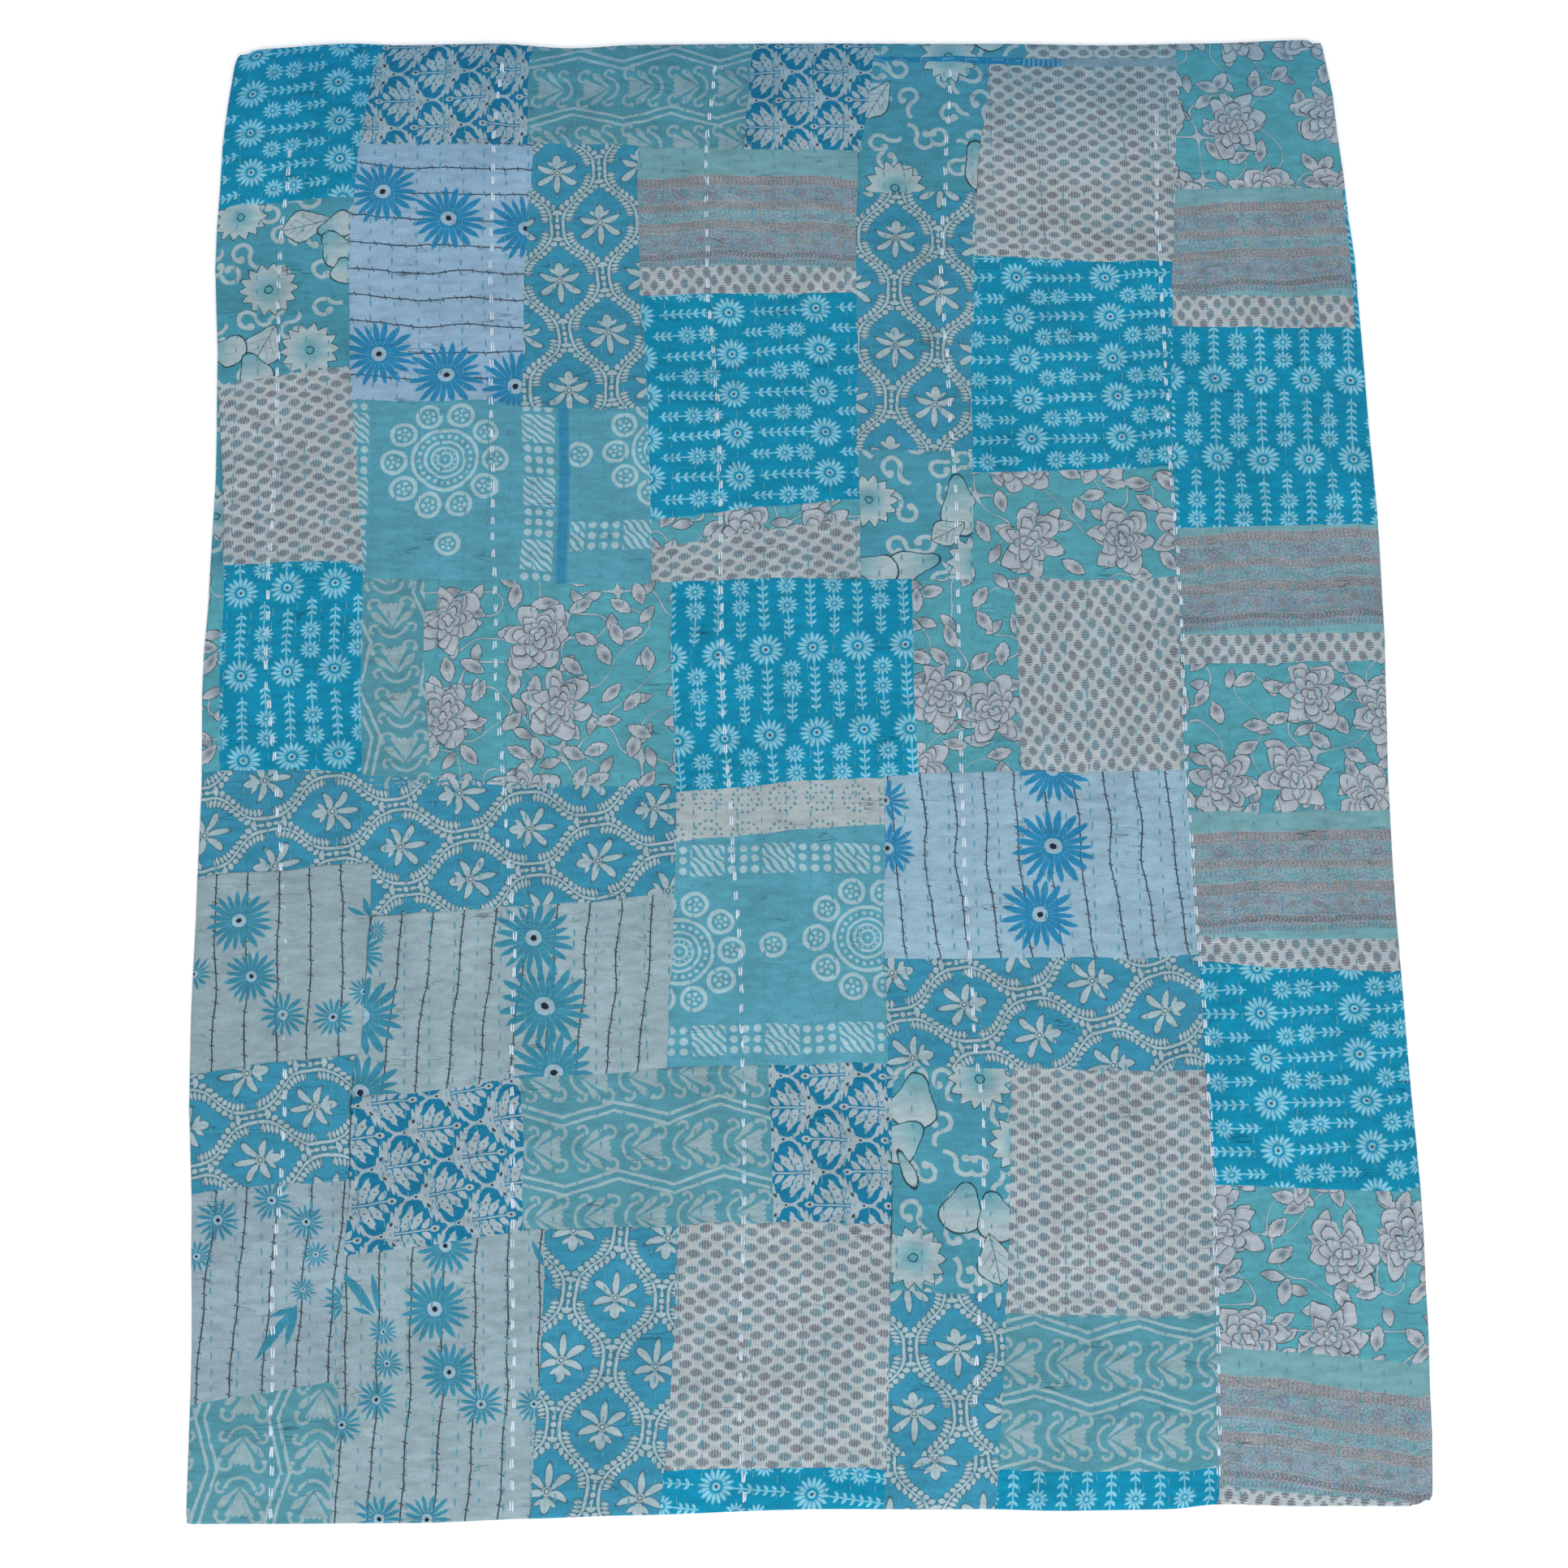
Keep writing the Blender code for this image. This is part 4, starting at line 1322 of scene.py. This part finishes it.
def sew(name, x, y, thread, sizes):
    """Sews stitches at places of the cut quilt, turned the way the quilt's length runs there."""
    start = np.stack([*lay_out(x, y - 5), cloth_height(x, y - 5)], -1)
    end = np.stack([*lay_out(x, y + 5), cloth_height(x, y + 5)], -1)
    middle = np.stack([*lay_out(x, y), cloth_height(x, y)], -1)
    middle[:, 2] = np.maximum(middle[:, 2], (start[:, 2] + end[:, 2]) / 2)
    run = end - start
    lay = np.zeros_like(run)
    lay[:, 0] = np.arctan2(run[:, 2], np.hypot(run[:, 0], run[:, 1]))
    lay[:, 2] = np.arctan2(-run[:, 0], run[:, 1])
    lay[:, 2] += np.random.default_rng(23).normal(0, 0.05, len(x))
    mesh = bpy.data.meshes.new(name)
    mesh.from_pydata((middle * MM).tolist(), [], [])
    value = mesh.attributes.new("lay", "FLOAT_VECTOR", "POINT")
    value.data.foreach_set("vector", lay.astype(np.float32).ravel())
    marks = bpy.data.objects.new(name + "_marks", mesh)
    bpy.context.scene.collection.objects.link(marks)
    tree = stitch_tree(thread)
    sewing = marks.modifiers.new("sewing", "NODES")
    sewing.node_group = tree
    inputs = {item.name: item.identifier for item in tree.interface.items_tree if item.in_out == "INPUT"}
    for label, size in sizes.items():
        sewing[inputs[label]] = size
    depsgraph = bpy.context.evaluated_depsgraph_get()
    plain = bpy.data.meshes.new_from_object(marks.evaluated_get(depsgraph))
    bpy.data.objects.remove(marks)
    stitches = bpy.data.objects.new(name, plain)
    bpy.context.scene.collection.objects.link(stitches)
    plain.shade_smooth()
    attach(stitches, "root")
    print(name, "stitches", len(x), "faces", len(plain.polygons))
    return stitches


# %% Quilting rows
STITCH_STEP = 20.4
chance = np.random.default_rng(7)
row_x, row_y = [], []
for row in ROWS:
    places = np.arange(-1004 + chance.uniform(0, 18), 1004, STITCH_STEP)
    places = places + chance.normal(0, 1.6, len(places))
    row_x.append(row + 1.6 * np.sin(places / 90 + row) + chance.normal(0, 0.5, len(places)))
    row_y.append(places)
row_x, row_y = np.concatenate(row_x), np.concatenate(row_y)
teal_thread = thread_finish("thread_teal", "4A8EA0", 0.75)
sizes = {"Stitch length": 0.0105, "Thread thickness": 0.0018, "Arch height": 0.0016, "Unevenness": 0.16}
sew("quilting_rows", row_x, row_y, teal_thread, sizes)

# %% [markdown]
# ## White basting
# Five lines of long white stitches run over the quilting, two strands side by side. They held the
# layers while the quilt was sewn. They use the same tree with bigger sizes.

# %% Basting lines
BASTING_STEP = 25.0
BASTING = [  # points of each line on the cut quilt, from the top, in mm
    [(-668, 855), (-674, 735), (-680, 575), (-685, 220), (-680, 95), (-652, -200), (-646, -275),
     (-642, -495), (-648, -565), (-662, -730), (-661, -890), (-657, -1003)],
    [(-389, 992), (-393, 890), (-397, 575), (-401, 465), (-397, 300), (-383, 32), (-372, -120),
     (-358, -285), (-362, -510), (-368, -690), (-367, -815), (-366, -999)],
    [(-93, 982), (-104, 865), (-107, 725), (-108, 620), (-103, 505), (-100, 245), (-95, 22),
     (-87, -92), (-74, -310), (-74, -500), (-82, -655), (-88, -750), (-91, -897), (-83, -1001)],
    [(234, 979), (214, 765), (204, 665), (204, 560), (207, 345), (208, 65), (213, -240),
     (217, -430), (224, -515), (214, -645), (204, -785), (198, -907)],
    [(514, 924), (499, 715), (496, 585), (492, 365), (497, 140), (501, -85), (506, -305),
     (508, -415), (504, -560), (501, -650), (499, -810), (497, -974)],
]
base_x, base_y = [], []
for line_points in BASTING:
    spots = np.array(line_points[::-1], float)
    places = np.arange(spots[0, 1], spots[-1, 1], BASTING_STEP)
    places = places + chance.normal(0, 1.8, len(places))
    middle = np.interp(places, spots[:, 1], spots[:, 0]) + chance.normal(0, 0.5, len(places))
    for strand in (-1.3, 1.3):
        base_x.append(middle + strand + chance.normal(0, 0.25, len(places)))
        base_y.append(places + chance.normal(0, 0.5, len(places)))
base_x, base_y = np.concatenate(base_x), np.concatenate(base_y)
white_thread = thread_finish("thread_white", "C2D0DC", 0.7)
sizes = {"Stitch length": 0.0115, "Thread thickness": 0.0024, "Arch height": 0.0016, "Unevenness": 0.14}
sew("basting", base_x, base_y, white_thread, sizes)

# %% [markdown]
# ## Floor, light and camera
# The quilt lies on a plain white floor. The light is broad and soft: a pale sky all round and one
# wide lamp low enough to show the puckers. The camera looks down at the photograph's angle, 19
# degrees from straight above, with a long lens.

# %% Stage
def build_floor():
    mesh = bpy.data.meshes.new("floor")
    side = 9
    corners = [(-side, -side, 0), (side, -side, 0), (side, side, 0), (-side, side, 0)]
    mesh.from_pydata(corners, [], [(0, 1, 2, 3)])
    floor = bpy.data.objects.new("floor", mesh)
    bpy.context.scene.collection.objects.link(floor)
    white = bpy.data.materials.new("floor_white")
    white.use_nodes = True
    shader = white.node_tree.nodes["Principled BSDF"]
    shader.inputs["Base Color"].default_value = (0.96, 0.96, 0.96, 1)
    shader.inputs["Roughness"].default_value = 1.0
    shader.inputs["Specular IOR Level"].default_value = 0.0
    mesh.materials.append(white)
    return floor


def build_light():
    world = bpy.data.worlds.new("soft_sky")
    bpy.context.scene.world = world
    world.use_nodes = True
    sky = world.node_tree.nodes["Background"]
    sky.inputs["Color"].default_value = (0.97, 1.0, 1.03, 1)
    sky.inputs["Strength"].default_value = 0.95
    lamp_data = bpy.data.lights.new("wide_lamp", "AREA")
    lamp_data.size = 1.6
    lamp_data.energy = 78
    lamp_data.color = (1.0, 0.97, 0.92)
    lamp = bpy.data.objects.new("wide_lamp", lamp_data)
    bpy.context.scene.collection.objects.link(lamp)
    lamp.location = (0.3, -3.3, 2.6)
    toward = Vector((0.1, 0.1, 0)) - lamp.location
    lamp.rotation_euler = toward.to_track_quat("-Z", "Y").to_euler()


def build_camera():
    lens = bpy.data.cameras.new("camera")
    lens.lens = 92
    lens.sensor_width = 36
    camera = bpy.data.objects.new("camera", lens)
    bpy.context.scene.collection.objects.link(camera)
    tilt = Matrix.Rotation(math.radians(19.014), 4, "X")
    pan = Matrix.Rotation(math.radians(-1.895), 4, "Y")
    roll = Matrix.Rotation(math.radians(-1.208), 4, "Z")
    camera.matrix_world = Matrix.Translation((-0.1835, -1.7664, 4.9194)) @ pan @ tilt @ roll
    bpy.context.scene.camera = camera


build_floor()
build_light()
build_camera()
bpy.context.scene.view_settings.view_transform = "Standard"
